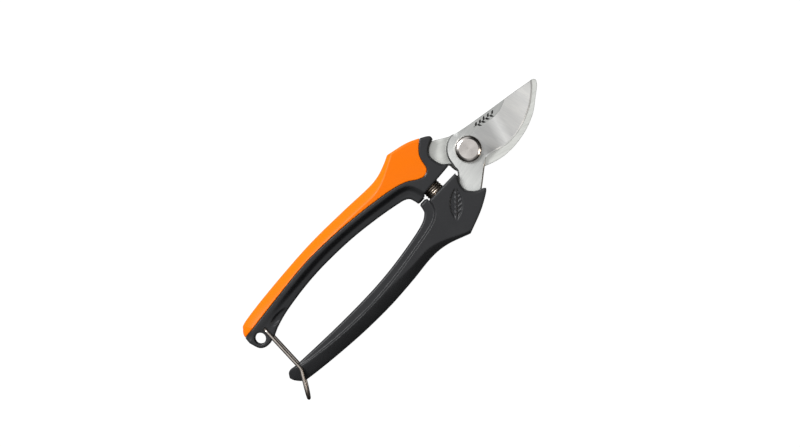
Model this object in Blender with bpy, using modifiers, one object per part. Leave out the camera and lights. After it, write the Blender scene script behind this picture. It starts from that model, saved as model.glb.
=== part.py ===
"""Bypass pruning shears, shut and latched, lying on their back.

The frame: the origin is on the pivot axis, at the plane that the shears lie on. +Z is the pivot axis, up
through the cutting blade. +X runs along the tool to the blade's tip, and +Y is the hook handle's side.
Sizes here are millimetres, and the objects are made in metres.
"""

import math

import bmesh
import bpy
from mathutils import Matrix, Vector

MM = 0.001
CORNER = "corner"

# Clearances: between pieces that touch, and round a pin in its hole.
GAP = 0.3
RUNNING = 0.15

# Handles: their thickness along the pivot, that of the band that the fingers pull on, and that of the tails.
HANDLE_THICKNESS = 17.0
BAND_THICKNESS = 11.0
TAIL_THICKNESS = 12.2
TAIL_X = -142.0
TAPER_LENGTH = 28.0
HANDLE_ROUND = 1.2
GRIP_SKIN = 2.5
CORE_ROOT = 1.1
MID_Z = HANDLE_THICKNESS / 2

# Plates: each lies against the plane through the middle of the handles.
BLADE_THICKNESS = 3.0
HOOK_THICKNESS = 3.5
EDGE_THICKNESS = 0.4

# Pivot, stacked on the Z axis.
BLADE_DISC_RADIUS = 11.9
HOOK_DISC_RADIUS = 13.2
HEAD_RADIUS = 7.3
HEAD_HEIGHT = 3.0
HEAD_FILLET = 1.8
DIMPLE_RADIUS = 1.0
SHANK_RADIUS = 4.0
NECK_HALF_WIDTH = 3.1
THREAD_RADIUS = 3.0
BUSH_WALL = 1.1
WASHER_RADIUS = 6.4
WASHER_THICKNESS = 0.8
NUT_ACROSS_FLATS = 10.0
LOCK_RING_WALL = 1.0
LOCK_RING_HEIGHT = 1.2

# Return spring between the heads, on a cup in a round pocket in each.
SPRING_X = -28.8
SPRING_TOP_Y = 5.6
SPRING_BOTTOM_Y = -8.4
SPRING_RADIUS = 4.5
SPRING_WIRE = 1.4
SPRING_TURNS = 9
CUP_THICKNESS = 0.8
CUP_PEG_HEIGHT = 2.5

# Stop buffers, one in the end of each band.
BUFFER_X = -37.4
BUFFER_RADIUS = 1.9
BUFFER_DEPTH = 3.0
BUFFER_PROUD = 0.3
HOOK_STOP_Y = -0.9
BLADE_STOP_Y = -2.0

# Hanging eye in the hook handle's tail.
EYE_CENTRE = (-151.0, 11.0)
EYE_RADIUS = 3.1

# Wire latch: a loop that swings on the hook handle's tail and goes over the blade handle's tail.
LATCH_WIRE = 1.9
LATCH_TO_EYE = 1.25
LATCH_CLEARANCE = 0.35
LATCH_PIVOT = (EYE_CENTRE[0] + EYE_RADIUS + LATCH_TO_EYE + LATCH_WIRE / 2, 12.3)
LATCH_BEND = (-147.6, -16.3)
LATCH_TIP = (-156.6, -30.2)
LATCH_HALF_WIDTH = (TAIL_THICKNESS + LATCH_WIRE) / 2 + LATCH_CLEARANCE
LATCH_STUB = 5.0

# Cross pins that hold each plate's tang in its handle.
PIN_RADIUS = 1.25
HOOK_PINS = {"front": (-30.0, 15.3), "rear": (-51.0, 18.6)}
BLADE_PINS = {"front": (-30.0, -18.6), "rear": (-51.0, -20.7)}
PIN_RECESS = 0.5
PIN_COVER = 2.5

ROUND_STEPS = 36

# Each outline runs round its piece. A point is smooth unless it says CORNER.
HOOK_HANDLE_BACK = [
    (-156.7, 15.6), (-156.3, 18.0), (-154.3, 21.0), (-150.0, 23.3), (-130.0, 25.2), (-98.0, 26.7),
    (-72.0, 25.9), (-53.0, 24.7), (-40.0, 26.2), (-32.4, 29.5, CORNER), (-21.0, 25.7),
]
HOOK_HANDLE_HEAD = [
    (-12.5, 21.2), (-9.3, 18.6), (-9.9, 16.9, CORNER), (-14.0, 15.1), (-16.9, 11.2), (-16.7, 6.8),
    (-13.6, 2.0, CORNER), (-15.2, 1.2, CORNER), (-33.9, 0.6, CORNER), (-34.8, 4.8), (-37.6, 9.4),
]
HOOK_HANDLE_STEP = [
    (-43.0, 11.8), (-60.0, 15.2), (-78.0, 17.7), (-98.0, 18.7), (-120.0, 17.8), (-140.0, 16.0),
    (-150.0, 15.3),
]
HOOK_HANDLE_BAND = [
    (-157.0, 14.0), (-156.4, 9.2), (-154.1, 6.2), (-150.8, 5.4), (-147.8, 6.3), (-144.6, 7.0), (-140.0, 9.0),
    (-128.0, 11.5), (-112.0, 13.1), (-96.0, 13.4), (-78.0, 12.3), (-60.0, 9.8), (-47.0, 7.1), (-41.6, 4.2),
    (-40.0, -0.9, CORNER), (-34.8, -0.9, CORNER), (-33.4, 3.0, CORNER), (-36.0, 11.0), (-45.0, 14.0),
    (-70.0, 18.0), (-98.0, 20.0), (-130.0, 18.0), (-150.0, 16.8),
]
BLADE_HANDLE_RAISED = [
    (-156.0, -15.2), (-155.0, -18.0), (-151.8, -21.6), (-147.0, -23.0), (-130.0, -25.1), (-110.0, -27.1),
    (-90.0, -27.9), (-72.0, -27.1), (-56.0, -25.9), (-45.0, -27.3), (-32.2, -32.2, CORNER), (-20.0, -27.9),
    (-12.0, -23.9), (-8.9, -21.6), (-9.8, -20.2, CORNER), (-14.2, -17.9), (-17.0, -13.6), (-16.8, -9.2),
    (-14.4, -4.6, CORNER), (-15.2, -3.8, CORNER), (-34.2, -3.9, CORNER), (-35.0, -6.6), (-37.6, -11.2),
    (-44.0, -13.7), (-60.0, -16.7), (-78.0, -19.1), (-98.0, -20.0), (-120.0, -18.9), (-138.0, -16.6),
    (-146.0, -14.7), (-150.0, -12.8), (-154.0, -12.6),
]
BLADE_HANDLE_BAND = [
    (-146.5, -13.5), (-120.0, -14.6), (-96.0, -15.1), (-78.0, -14.4), (-60.0, -12.3), (-47.0, -9.7),
    (-41.6, -7.0), (-40.0, -2.0, CORNER), (-34.9, -2.0, CORNER), (-33.4, -6.0, CORNER), (-36.0, -13.6),
    (-45.0, -16.6), (-70.0, -20.4), (-98.0, -22.0), (-130.0, -20.0), (-146.0, -17.5),
]
# The grip's edge on the black body, from the tail to the nose. The grip is all that lies outside it.
GRIP_EDGE = [
    (-150.0, 17.7), (-130.0, 19.5), (-112.0, 21.0), (-96.0, 21.3), (-76.0, 19.8), (-56.0, 17.1),
    (-41.5, 14.3), (-35.2, 12.0), (-30.4, 8.5), (-26.7, 7.0), (-23.6, 8.5), (-22.4, 12.0), (-21.2, 15.9),
    (-18.6, 19.6),
]
GRIP_NOSE = (-13.4, 23.4, CORNER)
GRIP_TAIL = (-158.0, 17.1)
# The hook's outline, without the arc round the pivot: its beak, then its tang inside the handle.
HOOK_BEAK = [
    (-9.9, 16.9), (-4.6, 13.6), (1.2, 10.7, CORNER), (6.6, 7.8), (9.6, 2.6), (9.8, -3.0), (12.2, -7.4),
    (17.5, -9.9), (25.0, -10.2), (34.0, -8.0), (42.5, -4.0), (51.2, 1.4), (52.6, -0.4), (50.4, -3.7),
    (41.0, -10.9), (30.5, -15.4), (18.5, -17.0), (8.0, -15.9), (0.0, -12.9),
]
HOOK_ARC = (255, 215, 175)
HOOK_TANG = [
    (-17.0, 5.0), (-23.0, 9.4), (-36.0, 12.6), (-50.0, 15.7), (-64.0, 18.4), (-65.6, 20.4), (-63.0, 22.0),
    (-48.0, 21.2), (-30.0, 20.4), (-16.0, 19.2),
]

# The blade's outline in the same way: its edge and spine, then its tang and the edge of that.
BLADE_HEEL = (3.3, -10.3, CORNER)
BLADE_EDGE = [(9.0, -11.3), (20.0, -13.2), (31.0, -11.6), (42.0, -6.6), (50.8, 1.3, CORNER)]
BLADE_SPINE = [(26.0, 5.6), (3.0, 10.4)]
BLADE_ARC = (115, 145, 175)
BLADE_TANG = [
    (-12.6, -3.9), (-15.2, -6.9), (-19.0, -10.4), (-25.0, -13.2), (-36.0, -14.9), (-50.0, -17.8),
    (-64.0, -20.4), (-65.6, -22.2), (-63.0, -23.6), (-45.0, -23.8), (-28.0, -24.6), (-16.0, -22.9),
    (-10.2, -19.8), (-3.0, -14.6),
]
# The grind runs from its heel to the tip. The line where it begins is past the spine from mid-blade on.
GRIND_HEEL = (5.0, -10.7)
GRIND_LINE = [
    (5.6, -9.4), (8.6, -7.2), (11.0, -2.0), (14.0, 2.4), (24.0, 2.0), (33.0, 4.6), (43.0, 8.5), (55.0, 12.0),
]


def clear_scene():
    for obj in list(bpy.data.objects):
        bpy.data.objects.remove(obj, do_unlink=True)


def new_collection(name):
    collection = bpy.data.collections.new(name)
    bpy.context.scene.collection.children.link(collection)
    return collection


def new_material(name, colour, roughness, metallic=0.0):
    material = bpy.data.materials.new(name)
    material.use_nodes = True
    shader = material.node_tree.nodes["Principled BSDF"]
    shader.inputs["Base Color"].default_value = (*colour, 1.0)
    shader.inputs["Roughness"].default_value = roughness
    shader.inputs["Metallic"].default_value = metallic
    material.diffuse_color = (*colour, 1.0)
    return material


clear_scene()
PARTS = new_collection("pruning_shears")
CUTTERS = new_collection("cutters")

STAINLESS = new_material("stainless_steel", (0.62, 0.61, 0.58), 0.32, 1.0)
BOLT_STEEL = new_material("bolt_steel", (0.52, 0.49, 0.46), 0.28, 1.0)
SPRING_STEEL = new_material("spring_steel", (0.20, 0.17, 0.14), 0.30, 1.0)
BRONZE = new_material("bush_bronze", (0.50, 0.34, 0.16), 0.35, 1.0)
BLACK_NYLON = new_material("black_nylon", (0.030, 0.030, 0.033), 0.48)
ORANGE_GRIP = new_material("orange_grip", (0.95, 0.20, 0.010), 0.45)
BUFFER_RUBBER = new_material("buffer_rubber", (0.012, 0.012, 0.013), 0.70)
LOCKING_NYLON = new_material("locking_nylon", (0.75, 0.78, 0.80), 0.50)


def add_part(obj, material):
    """Keep an object as a piece of the shears."""
    obj.data.materials.clear()
    obj.data.materials.append(material)
    obj.data.shade_smooth()
    obj.data.set_sharp_from_angle(angle=math.radians(30))
    PARTS.objects.link(obj)
    return obj


def add_cutter(obj):
    """Keep an object as a helper that shapes other objects."""
    obj.hide_render = True
    obj.display_type = "WIRE"
    CUTTERS.objects.link(obj)
    return obj


def boolean(obj, operation, other):
    modifier = obj.modifiers.new(f"{operation} {other.name}", "BOOLEAN")
    modifier.operation = operation
    modifier.object = other


def bevel(obj, width):
    modifier = obj.modifiers.new("Bevel", "BEVEL")
    modifier.width = width * MM
    modifier.limit_method = "ANGLE"
    modifier.angle_limit = math.radians(40)


def welded_mesh(obj):
    """The object's evaluated mesh, welded, as a new object. The first object is removed."""
    bpy.context.scene.collection.objects.link(obj)
    graph = bpy.context.evaluated_depsgraph_get()
    mesh = bpy.data.meshes.new_from_object(obj.evaluated_get(graph))
    mesh.transform(obj.matrix_world)
    body = bmesh.new()
    body.from_mesh(mesh)
    bmesh.ops.remove_doubles(body, verts=body.verts, dist=0.01 * MM)
    bmesh.ops.recalc_face_normals(body, faces=body.faces)
    body.to_mesh(mesh)
    body.free()
    name = obj.name
    bpy.data.objects.remove(obj, do_unlink=True)
    return bpy.data.objects.new(name, mesh)


def area(points):
    """Twice the area inside a run of points, above zero where they run anticlockwise."""
    pairs = zip(points, points[1:] + points[:1])
    return sum(a[0] * b[1] - b[0] * a[1] for a, b in pairs)


def moved_out(points, distance):
    """The points of an open run, each moved square to the run, to the left of its direction."""
    flat = [Vector(point[:2]) for point in points]
    moved = []
    for i, point in enumerate(flat):
        along = (flat[min(i + 1, len(flat) - 1)] - flat[max(i - 1, 0)]).normalized()
        shifted = point + Vector((-along.y, along.x)) * distance
        moved.append((shifted.x, shifted.y, *points[i][2:]))
    return moved


def arc(radius, angles):
    """Points on a circle round the pivot."""
    return [(radius * math.cos(math.radians(a)), radius * math.sin(math.radians(a))) for a in angles]


def plate(name, outline, low, high, grow=0.0, steps=4):
    """A flat plate from z=low to z=high, whose outline is moved out by grow."""
    if area(outline) < 0:
        outline = outline[::-1]
    curve = bpy.data.curves.new(name, "CURVE")
    curve.dimensions = "2D"
    curve.fill_mode = "BOTH"
    curve.resolution_u = steps
    curve.extrude = (high - low) / 2 * MM
    curve.offset = grow * MM
    spline = curve.splines.new("BEZIER")
    spline.bezier_points.add(len(outline) - 1)
    spline.use_cyclic_u = True
    for knot, point in zip(spline.bezier_points, outline):
        knot.co = (point[0] * MM, point[1] * MM, 0.0)
        handle = "VECTOR" if CORNER in point else "AUTO"
        knot.handle_left_type = handle
        knot.handle_right_type = handle
    obj = bpy.data.objects.new(name, curve)
    obj.location.z = (low + high) / 2 * MM
    bpy.context.view_layer.update()
    return welded_mesh(obj)


def cylinder(name, radius, low, high, centre=(0.0, 0.0), sides=ROUND_STEPS):
    """An upright cylinder from z=low to z=high."""
    body = bmesh.new()
    middle = Matrix.Translation((centre[0] * MM, centre[1] * MM, (low + high) / 2 * MM))
    turned = middle @ Matrix.Rotation(math.pi / sides, 4, "Z")
    bmesh.ops.create_cone(
        body, cap_ends=True, segments=sides, radius1=radius * MM, radius2=radius * MM,
        depth=(high - low) * MM, matrix=turned,
    )
    mesh = bpy.data.meshes.new(name)
    body.to_mesh(mesh)
    body.free()
    return bpy.data.objects.new(name, mesh)


def cross_cylinder(name, radius, x, low_y, high_y, sides=ROUND_STEPS):
    """A cylinder along Y at the middle height, from y=low_y to y=high_y."""
    obj = cylinder(name, radius, low_y, high_y, sides=sides)
    lay_down = Matrix.Translation((x * MM, 0.0, MID_Z * MM)) @ Matrix.Rotation(math.radians(-90), 4, "X")
    obj.data.transform(lay_down)
    return obj


def box(name, low, high):
    body = bmesh.new()
    size = [(b - a) * MM for a, b in zip(low, high)]
    centre = [(a + b) / 2 * MM for a, b in zip(low, high)]
    matrix = Matrix.Translation(centre) @ Matrix.Diagonal((*size, 1.0))
    bmesh.ops.create_cube(body, size=1.0, matrix=matrix)
    mesh = bpy.data.meshes.new(name)
    body.to_mesh(mesh)
    body.free()
    return bpy.data.objects.new(name, mesh)


def turned(name, profile, steps=ROUND_STEPS):
    """A profile of (radius, height) from the top down its outer side, turned round Z."""
    points = [(radius * MM, 0.0, height * MM) for radius, height in profile]
    loop = len(profile) if profile[0][0] > 0 else len(profile) - 1
    edges = [(i, (i + 1) % len(points)) for i in range(loop)]
    mesh = bpy.data.meshes.new(name)
    mesh.from_pydata(points, edges, [])
    obj = bpy.data.objects.new(name, mesh)
    screw = obj.modifiers.new("Screw", "SCREW")
    screw.steps = steps
    screw.render_steps = steps
    screw.use_merge_vertices = True
    screw.merge_threshold = 0.00001
    return obj


def smooth_run(points, count):
    """count points at even steps of the knots along a smooth run through the points (Catmull-Rom)."""
    knots = [Vector(point[:2]) for point in points]
    knots = [2 * knots[0] - knots[1], *knots, 2 * knots[-1] - knots[-2]]
    run = []
    for i in range(count):
        place = i / (count - 1) * (len(knots) - 3)
        first = min(int(place), len(knots) - 4)
        t = place - first
        a, b, c, d = knots[first:first + 4]
        run.append(0.5 * (
            2 * b + (c - a) * t + (2 * a - 5 * b + 4 * c - d) * t ** 2 + (3 * b - a - 3 * c + d) * t ** 3
        ))
    return run


def rounded_path(corners, steps=5):
    """Points along straight runs between corners of (point, radius), each corner rounded."""
    points = [Vector(corners[0][0])]
    for before, (corner, radius), after in zip(corners, corners[1:], corners[2:]):
        corner = Vector(corner)
        back = (Vector(before[0]) - corner).normalized()
        ahead = (Vector(after[0]) - corner).normalized()
        half_angle = back.angle(ahead) / 2
        reach = radius / math.tan(half_angle)
        centre = corner + (back + ahead).normalized() * radius / math.sin(half_angle)
        start = corner + back * reach - centre
        finish = corner + ahead * reach - centre
        points += [centre + start.slerp(finish, i / steps) * radius for i in range(steps + 1)]
    points.append(Vector(corners[-1][0]))
    return points


def wire(name, points, diameter):
    """A round wire through the points, as a welded mesh."""
    curve = bpy.data.curves.new(name, "CURVE")
    curve.dimensions = "3D"
    curve.bevel_depth = diameter / 2 * MM
    curve.bevel_resolution = 2
    curve.use_fill_caps = True
    spline = curve.splines.new("POLY")
    spline.points.add(len(points) - 1)
    for knot, point in zip(spline.points, points):
        knot.co = (*(point * MM), 1.0)
    return welded_mesh(bpy.data.objects.new(name, curve))


def side_profile(name, grow=0.0):
    """A prism across the tool with the side view of a handle: full at the grip, thinner at the tail."""
    tail = TAIL_THICKNESS / 2
    rise = HANDLE_THICKNESS / 2 - tail
    past_full_x = TAIL_X + 2 * TAPER_LENGTH
    upper = [(-170.0, tail), (TAIL_X, tail), (past_full_x, tail + 2 * rise), (10.0, tail + 2 * rise)]
    upper = [(x, z, CORNER) for x, z in upper]
    lower = [(x, -z, CORNER) for x, z, _ in upper[::-1]]
    obj = plate(name, upper + lower, -50.0, 50.0, grow=grow)
    obj.data.transform(
        Matrix.Translation((0.0, 0.0, MID_Z * MM)) @ Matrix.Rotation(math.radians(90), 4, "X")
    )
    return add_cutter(obj)


def raised_body(name, outline):
    """The thick part of a handle, thinner at its tail, with rounded edges."""
    obj = plate(name, outline, 0.0, HANDLE_THICKNESS)
    boolean(obj, "INTERSECT", HANDLE_SIDE)
    bevel(obj, HANDLE_ROUND)
    return welded_mesh(obj)


def band_body(name, outline):
    """The thin band along the inside of a handle, thinner than the tail."""
    half = BAND_THICKNESS / 2
    band = add_cutter(plate(name, outline, MID_Z - half, MID_Z + half))
    boolean(band, "INTERSECT", side_profile(name + "_side", grow=-GAP / 2))
    return band


def tang_slot(name, outline, low, high):
    return add_cutter(plate(name, outline, low - GAP, high + GAP, grow=GAP))


def spring_pocket(name, floor_y, mouth_y):
    low_y, high_y = sorted((floor_y, mouth_y))
    return add_cutter(cross_cylinder(name, POCKET_RADIUS, SPRING_X, low_y, high_y))


HANDLE_SIDE = side_profile("handle_side")

# Heights of the stack at the pivot, from the blade down.
BLADE_LOW = MID_Z + GAP / 2
BLADE_HIGH = BLADE_LOW + BLADE_THICKNESS
HOOK_HIGH = MID_Z - GAP / 2
HOOK_LOW = HOOK_HIGH - HOOK_THICKNESS
HEAD_LOW = BLADE_HIGH + GAP
HEAD_HIGH = HEAD_LOW + HEAD_HEIGHT
WASHER_HIGH = HOOK_LOW - GAP
WASHER_LOW = WASHER_HIGH - WASHER_THICKNESS
NUT_HIGH = WASHER_LOW - GAP
BUSH_RADIUS = SHANK_RADIUS + RUNNING + BUSH_WALL

BLADE_OUTLINE = [BLADE_HEEL] + BLADE_EDGE + BLADE_SPINE + arc(BLADE_DISC_RADIUS, BLADE_ARC) + BLADE_TANG
HOOK_OUTLINE = HOOK_BEAK + arc(HOOK_DISC_RADIUS, HOOK_ARC) + HOOK_TANG

POCKET_RADIUS = SPRING_RADIUS + SPRING_WIRE / 2 + GAP
HOOK_POCKET_Y = SPRING_TOP_Y + 2 * GAP + CUP_THICKNESS
BLADE_POCKET_Y = SPRING_BOTTOM_Y - 2 * GAP - CUP_THICKNESS


def double_d(name, radius, half_width, low, high):
    """A round bar with two flats, from z=low to z=high."""
    bar = cylinder(name, radius, low, high)
    flats = add_cutter(box(name + "_flats", (-20.0, -half_width, low - 1.0), (20.0, half_width, high + 1.0)))
    boolean(bar, "INTERSECT", flats)
    return bar


def pin_holes(prefix, places, low, high):
    radius = PIN_RADIUS + RUNNING
    return [add_cutter(cylinder(f"{prefix}_pin_hole_{end}", radius, low, high, centre=place, sides=24))
            for end, place in places.items()]


# Pins under the grip end inside the hook handle's core, and the blade handle's are driven in from the back.
HOOK_PIN_LOW = GRIP_SKIN + PIN_RECESS
HOOK_PIN_HIGH = HANDLE_THICKNESS - GRIP_SKIN - PIN_RECESS
BLADE_PIN_LOW = PIN_RECESS
BLADE_PIN_HIGH = HANDLE_THICKNESS - PIN_COVER
HOOK_PIN_HOLES = pin_holes("hook", HOOK_PINS, -1.0, HANDLE_THICKNESS + 1.0)
BLADE_PIN_HOLES = pin_holes("blade", BLADE_PINS, -1.0, BLADE_PIN_HIGH + GAP)


def make_cutting_blade():
    """The blade: a plate ground from the front down to its edge, with its tang."""
    blade = plate("cutting_blade", BLADE_OUTLINE, BLADE_LOW, BLADE_HIGH)
    boolean(blade, "DIFFERENCE", grind_cutter())
    bore = cylinder("blade_bore", BUSH_RADIUS + RUNNING, BLADE_LOW - 1.0, BLADE_HIGH + 1.0)
    boolean(blade, "DIFFERENCE", add_cutter(bore))
    for hole in BLADE_PIN_HOLES:
        boolean(blade, "DIFFERENCE", hole)
    return add_part(blade, STAINLESS)


def grind_cutter(stations=24):
    """All that is above the ground face, which is straight from the edge up to the line where it begins."""
    edge = smooth_run([GRIND_HEEL] + BLADE_EDGE, stations)
    line = smooth_run(GRIND_LINE, stations)
    foot = BLADE_LOW + EDGE_THICKNESS
    slope_height = BLADE_HIGH - foot
    overrun = 0.4
    body = bmesh.new()
    rings = []
    for low, high in zip(edge, line):
        reach = (high - low) * overrun
        outer = low - reach
        inner = high + reach
        rise = slope_height * overrun
        top = BLADE_HIGH + rise + 2.0
        ring = [
            (*outer, foot - rise), (*inner, BLADE_HIGH + rise), (*inner, top), (*outer, top),
        ]
        rings.append([body.verts.new(Vector(corner) * MM) for corner in ring])
    for ring, following in zip(rings, rings[1:]):
        for i in range(4):
            j = (i + 1) % 4
            body.faces.new((ring[i], ring[j], following[j], following[i]))
    body.faces.new(rings[0][::-1])
    body.faces.new(rings[-1])
    bmesh.ops.triangulate(body, faces=body.faces)
    bmesh.ops.recalc_face_normals(body, faces=body.faces)
    mesh = bpy.data.meshes.new("grind")
    body.to_mesh(mesh)
    body.free()
    return add_cutter(bpy.data.objects.new("grind", mesh))


def make_counter_blade():
    """The hook that the branch rests in, with its tang."""
    hook = plate("counter_blade", HOOK_OUTLINE, HOOK_LOW, HOOK_HIGH)
    radius = SHANK_RADIUS + RUNNING
    bore = double_d("hook_bore", radius, NECK_HALF_WIDTH + RUNNING, HOOK_LOW - 1.0, HOOK_HIGH + 1.0)
    boolean(hook, "DIFFERENCE", add_cutter(bore))
    for hole in HOOK_PIN_HOLES:
        boolean(hook, "DIFFERENCE", hole)
    return add_part(hook, STAINLESS)


def make_pivot():
    """The bolt through both plates, the blade's bush, and the washer and locking nut at the back."""
    face = HEAD_RADIUS - HEAD_FILLET
    fillet = [
        (face + HEAD_FILLET * math.sin(a), HEAD_HIGH - HEAD_FILLET * (1 - math.cos(a)))
        for a in (math.radians(22.5 * i) for i in range(5))
    ]
    bolt = turned("pivot_bolt", [
        (0.0, HEAD_HIGH - DIMPLE_RADIUS / 2), (DIMPLE_RADIUS, HEAD_HIGH), *fillet,
        (HEAD_RADIUS, HEAD_LOW), (SHANK_RADIUS, HEAD_LOW), (SHANK_RADIUS, HOOK_LOW),
        (THREAD_RADIUS, HOOK_LOW), (THREAD_RADIUS, 0.0), (0.0, 0.0),
    ])
    neck = double_d("neck", SHANK_RADIUS + 1.0, NECK_HALF_WIDTH, -1.0, HOOK_HIGH)
    above = add_cutter(cylinder("above_neck", HEAD_RADIUS + 1.0, HOOK_HIGH, HEAD_HIGH + 1.0))
    boolean(neck, "UNION", above)
    boolean(bolt, "INTERSECT", add_cutter(neck))
    add_part(bolt, BOLT_STEEL)

    bush_inner = SHANK_RADIUS + RUNNING
    bush = turned("pivot_bush", [
        (bush_inner, BLADE_HIGH), (BUSH_RADIUS, BLADE_HIGH), (BUSH_RADIUS, BLADE_LOW),
        (bush_inner, BLADE_LOW),
    ])
    add_part(bush, BRONZE)

    washer_inner = THREAD_RADIUS + RUNNING
    washer = turned("pivot_washer", [
        (washer_inner, WASHER_HIGH), (WASHER_RADIUS, WASHER_HIGH), (WASHER_RADIUS, WASHER_LOW),
        (washer_inner, WASHER_LOW),
    ])
    add_part(washer, BOLT_STEEL)

    ring_outer = washer_inner + LOCK_RING_WALL
    nut = cylinder("pivot_nut", NUT_ACROSS_FLATS / 2 / math.cos(math.pi / 6), 0.0, NUT_HIGH, sides=6)
    thread = cylinder("nut_thread", washer_inner, -1.0, NUT_HIGH + 1.0)
    seat = cylinder("lock_ring_seat", ring_outer + RUNNING, -1.0, LOCK_RING_HEIGHT + 2 * GAP)
    boolean(nut, "DIFFERENCE", add_cutter(thread))
    boolean(nut, "DIFFERENCE", add_cutter(seat))
    add_part(nut, BOLT_STEEL)

    ring = turned("nut_lock_ring", [
        (washer_inner, GAP + LOCK_RING_HEIGHT), (ring_outer, GAP + LOCK_RING_HEIGHT), (ring_outer, GAP),
        (washer_inner, GAP),
    ])
    add_part(ring, LOCKING_NYLON)


def grip_region(name, grow):
    """The prism that holds all of the grip."""
    high = HANDLE_THICKNESS
    far = [(-10.0, 36.0, CORNER), (-164.0, 36.0, CORNER), (-164.0, GRIP_TAIL[1], CORNER)]
    return add_cutter(plate(name, [GRIP_TAIL] + GRIP_EDGE + [GRIP_NOSE] + far, -5.0, high + 5.0, grow=grow))


def core_shape(name, clearance=0.0):
    """The core inside the grip, a skin's thickness below its surface, and rooted in the black body."""
    skin = GRIP_SKIN - clearance
    root = moved_out(GRIP_EDGE, -CORE_ROOT)[::-1]
    outline = moved_out(HOOK_HANDLE_BACK[2:], -GRIP_SKIN) + root
    core = plate(name, outline, skin, HANDLE_THICKNESS - skin, grow=clearance)
    boolean(core, "INTERSECT", side_profile(name + "_side", grow=-skin))
    return add_cutter(core)


def buffer_seat(side, low_y, high_y):
    return add_cutter(
        cross_cylinder(side + "_buffer_seat", BUFFER_RADIUS + RUNNING, BUFFER_X, low_y, high_y, sides=24)
    )


def make_hook_handle():
    """The hook's handle: a black body whose core runs inside a soft orange grip on its outer side."""
    raised = raised_body("hook_raised", HOOK_HANDLE_BACK + HOOK_HANDLE_HEAD + HOOK_HANDLE_STEP)
    grip = bpy.data.objects.new("hook_handle_grip", raised.data.copy())
    body = bpy.data.objects.new("hook_handle_body", raised.data)
    high = HANDLE_THICKNESS
    boolean(body, "UNION", band_body("hook_band", HOOK_HANDLE_BAND))
    boolean(body, "DIFFERENCE", grip_region("grip_recess", GAP / 2))
    boolean(body, "UNION", core_shape("core"))
    slot = tang_slot("hook_tang_slot", HOOK_OUTLINE, HOOK_LOW, HOOK_HIGH)
    boolean(body, "DIFFERENCE", slot)
    boolean(body, "DIFFERENCE", spring_pocket("hook_pocket", HOOK_POCKET_Y, -3.0))
    eye = cylinder("eye", EYE_RADIUS, -1.0, high + 1.0, centre=EYE_CENTRE, sides=32)
    boolean(body, "DIFFERENCE", add_cutter(eye))
    hole_radius = LATCH_WIRE / 2 + RUNNING
    latch_hole = cylinder("latch_hole", hole_radius, -1.0, high + 1.0, centre=LATCH_PIVOT, sides=24)
    boolean(body, "DIFFERENCE", add_cutter(latch_hole))
    boolean(body, "DIFFERENCE", buffer_seat("hook", HOOK_STOP_Y - 1.0, HOOK_STOP_Y + BUFFER_DEPTH + GAP))
    for hole in HOOK_PIN_HOLES:
        boolean(body, "DIFFERENCE", hole)
    add_part(body, BLACK_NYLON)

    boolean(grip, "INTERSECT", grip_region("grip_region", -GAP / 2))
    boolean(grip, "DIFFERENCE", core_shape("grip_hollow", GAP))
    boolean(grip, "DIFFERENCE", slot)
    add_part(grip, ORANGE_GRIP)


def make_blade_handle():
    """The blade's handle, all of black nylon."""
    body = raised_body("blade_handle_body", BLADE_HANDLE_RAISED)
    boolean(body, "UNION", band_body("blade_band", BLADE_HANDLE_BAND))
    boolean(body, "DIFFERENCE", tang_slot("blade_tang_slot", BLADE_OUTLINE, BLADE_LOW, BLADE_HIGH))
    boolean(body, "DIFFERENCE", spring_pocket("blade_pocket", BLADE_POCKET_Y, 0.0))
    boolean(body, "DIFFERENCE", buffer_seat("blade", BLADE_STOP_Y - BUFFER_DEPTH - GAP, BLADE_STOP_Y + 1.0))
    for hole in BLADE_PIN_HOLES:
        boolean(body, "DIFFERENCE", hole)
    add_part(body, BLACK_NYLON)


def make_tang_pins():
    for prefix, places, low, high in (
        ("hook", HOOK_PINS, HOOK_PIN_LOW, HOOK_PIN_HIGH),
        ("blade", BLADE_PINS, BLADE_PIN_LOW, BLADE_PIN_HIGH),
    ):
        for end, place in places.items():
            pin = cylinder(f"{prefix}_pin_{end}", PIN_RADIUS, low, high, centre=place, sides=24)
            add_part(pin, BOLT_STEEL)


def make_buffers():
    hook_end = HOOK_STOP_Y - BUFFER_PROUD
    blade_end = BLADE_STOP_Y + BUFFER_PROUD
    for name, low_y, high_y in (
        ("hook_stop_buffer", hook_end, HOOK_STOP_Y + BUFFER_DEPTH),
        ("blade_stop_buffer", BLADE_STOP_Y - BUFFER_DEPTH, blade_end),
    ):
        add_part(cross_cylinder(name, BUFFER_RADIUS, BUFFER_X, low_y, high_y, sides=24), BUFFER_RUBBER)


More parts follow.
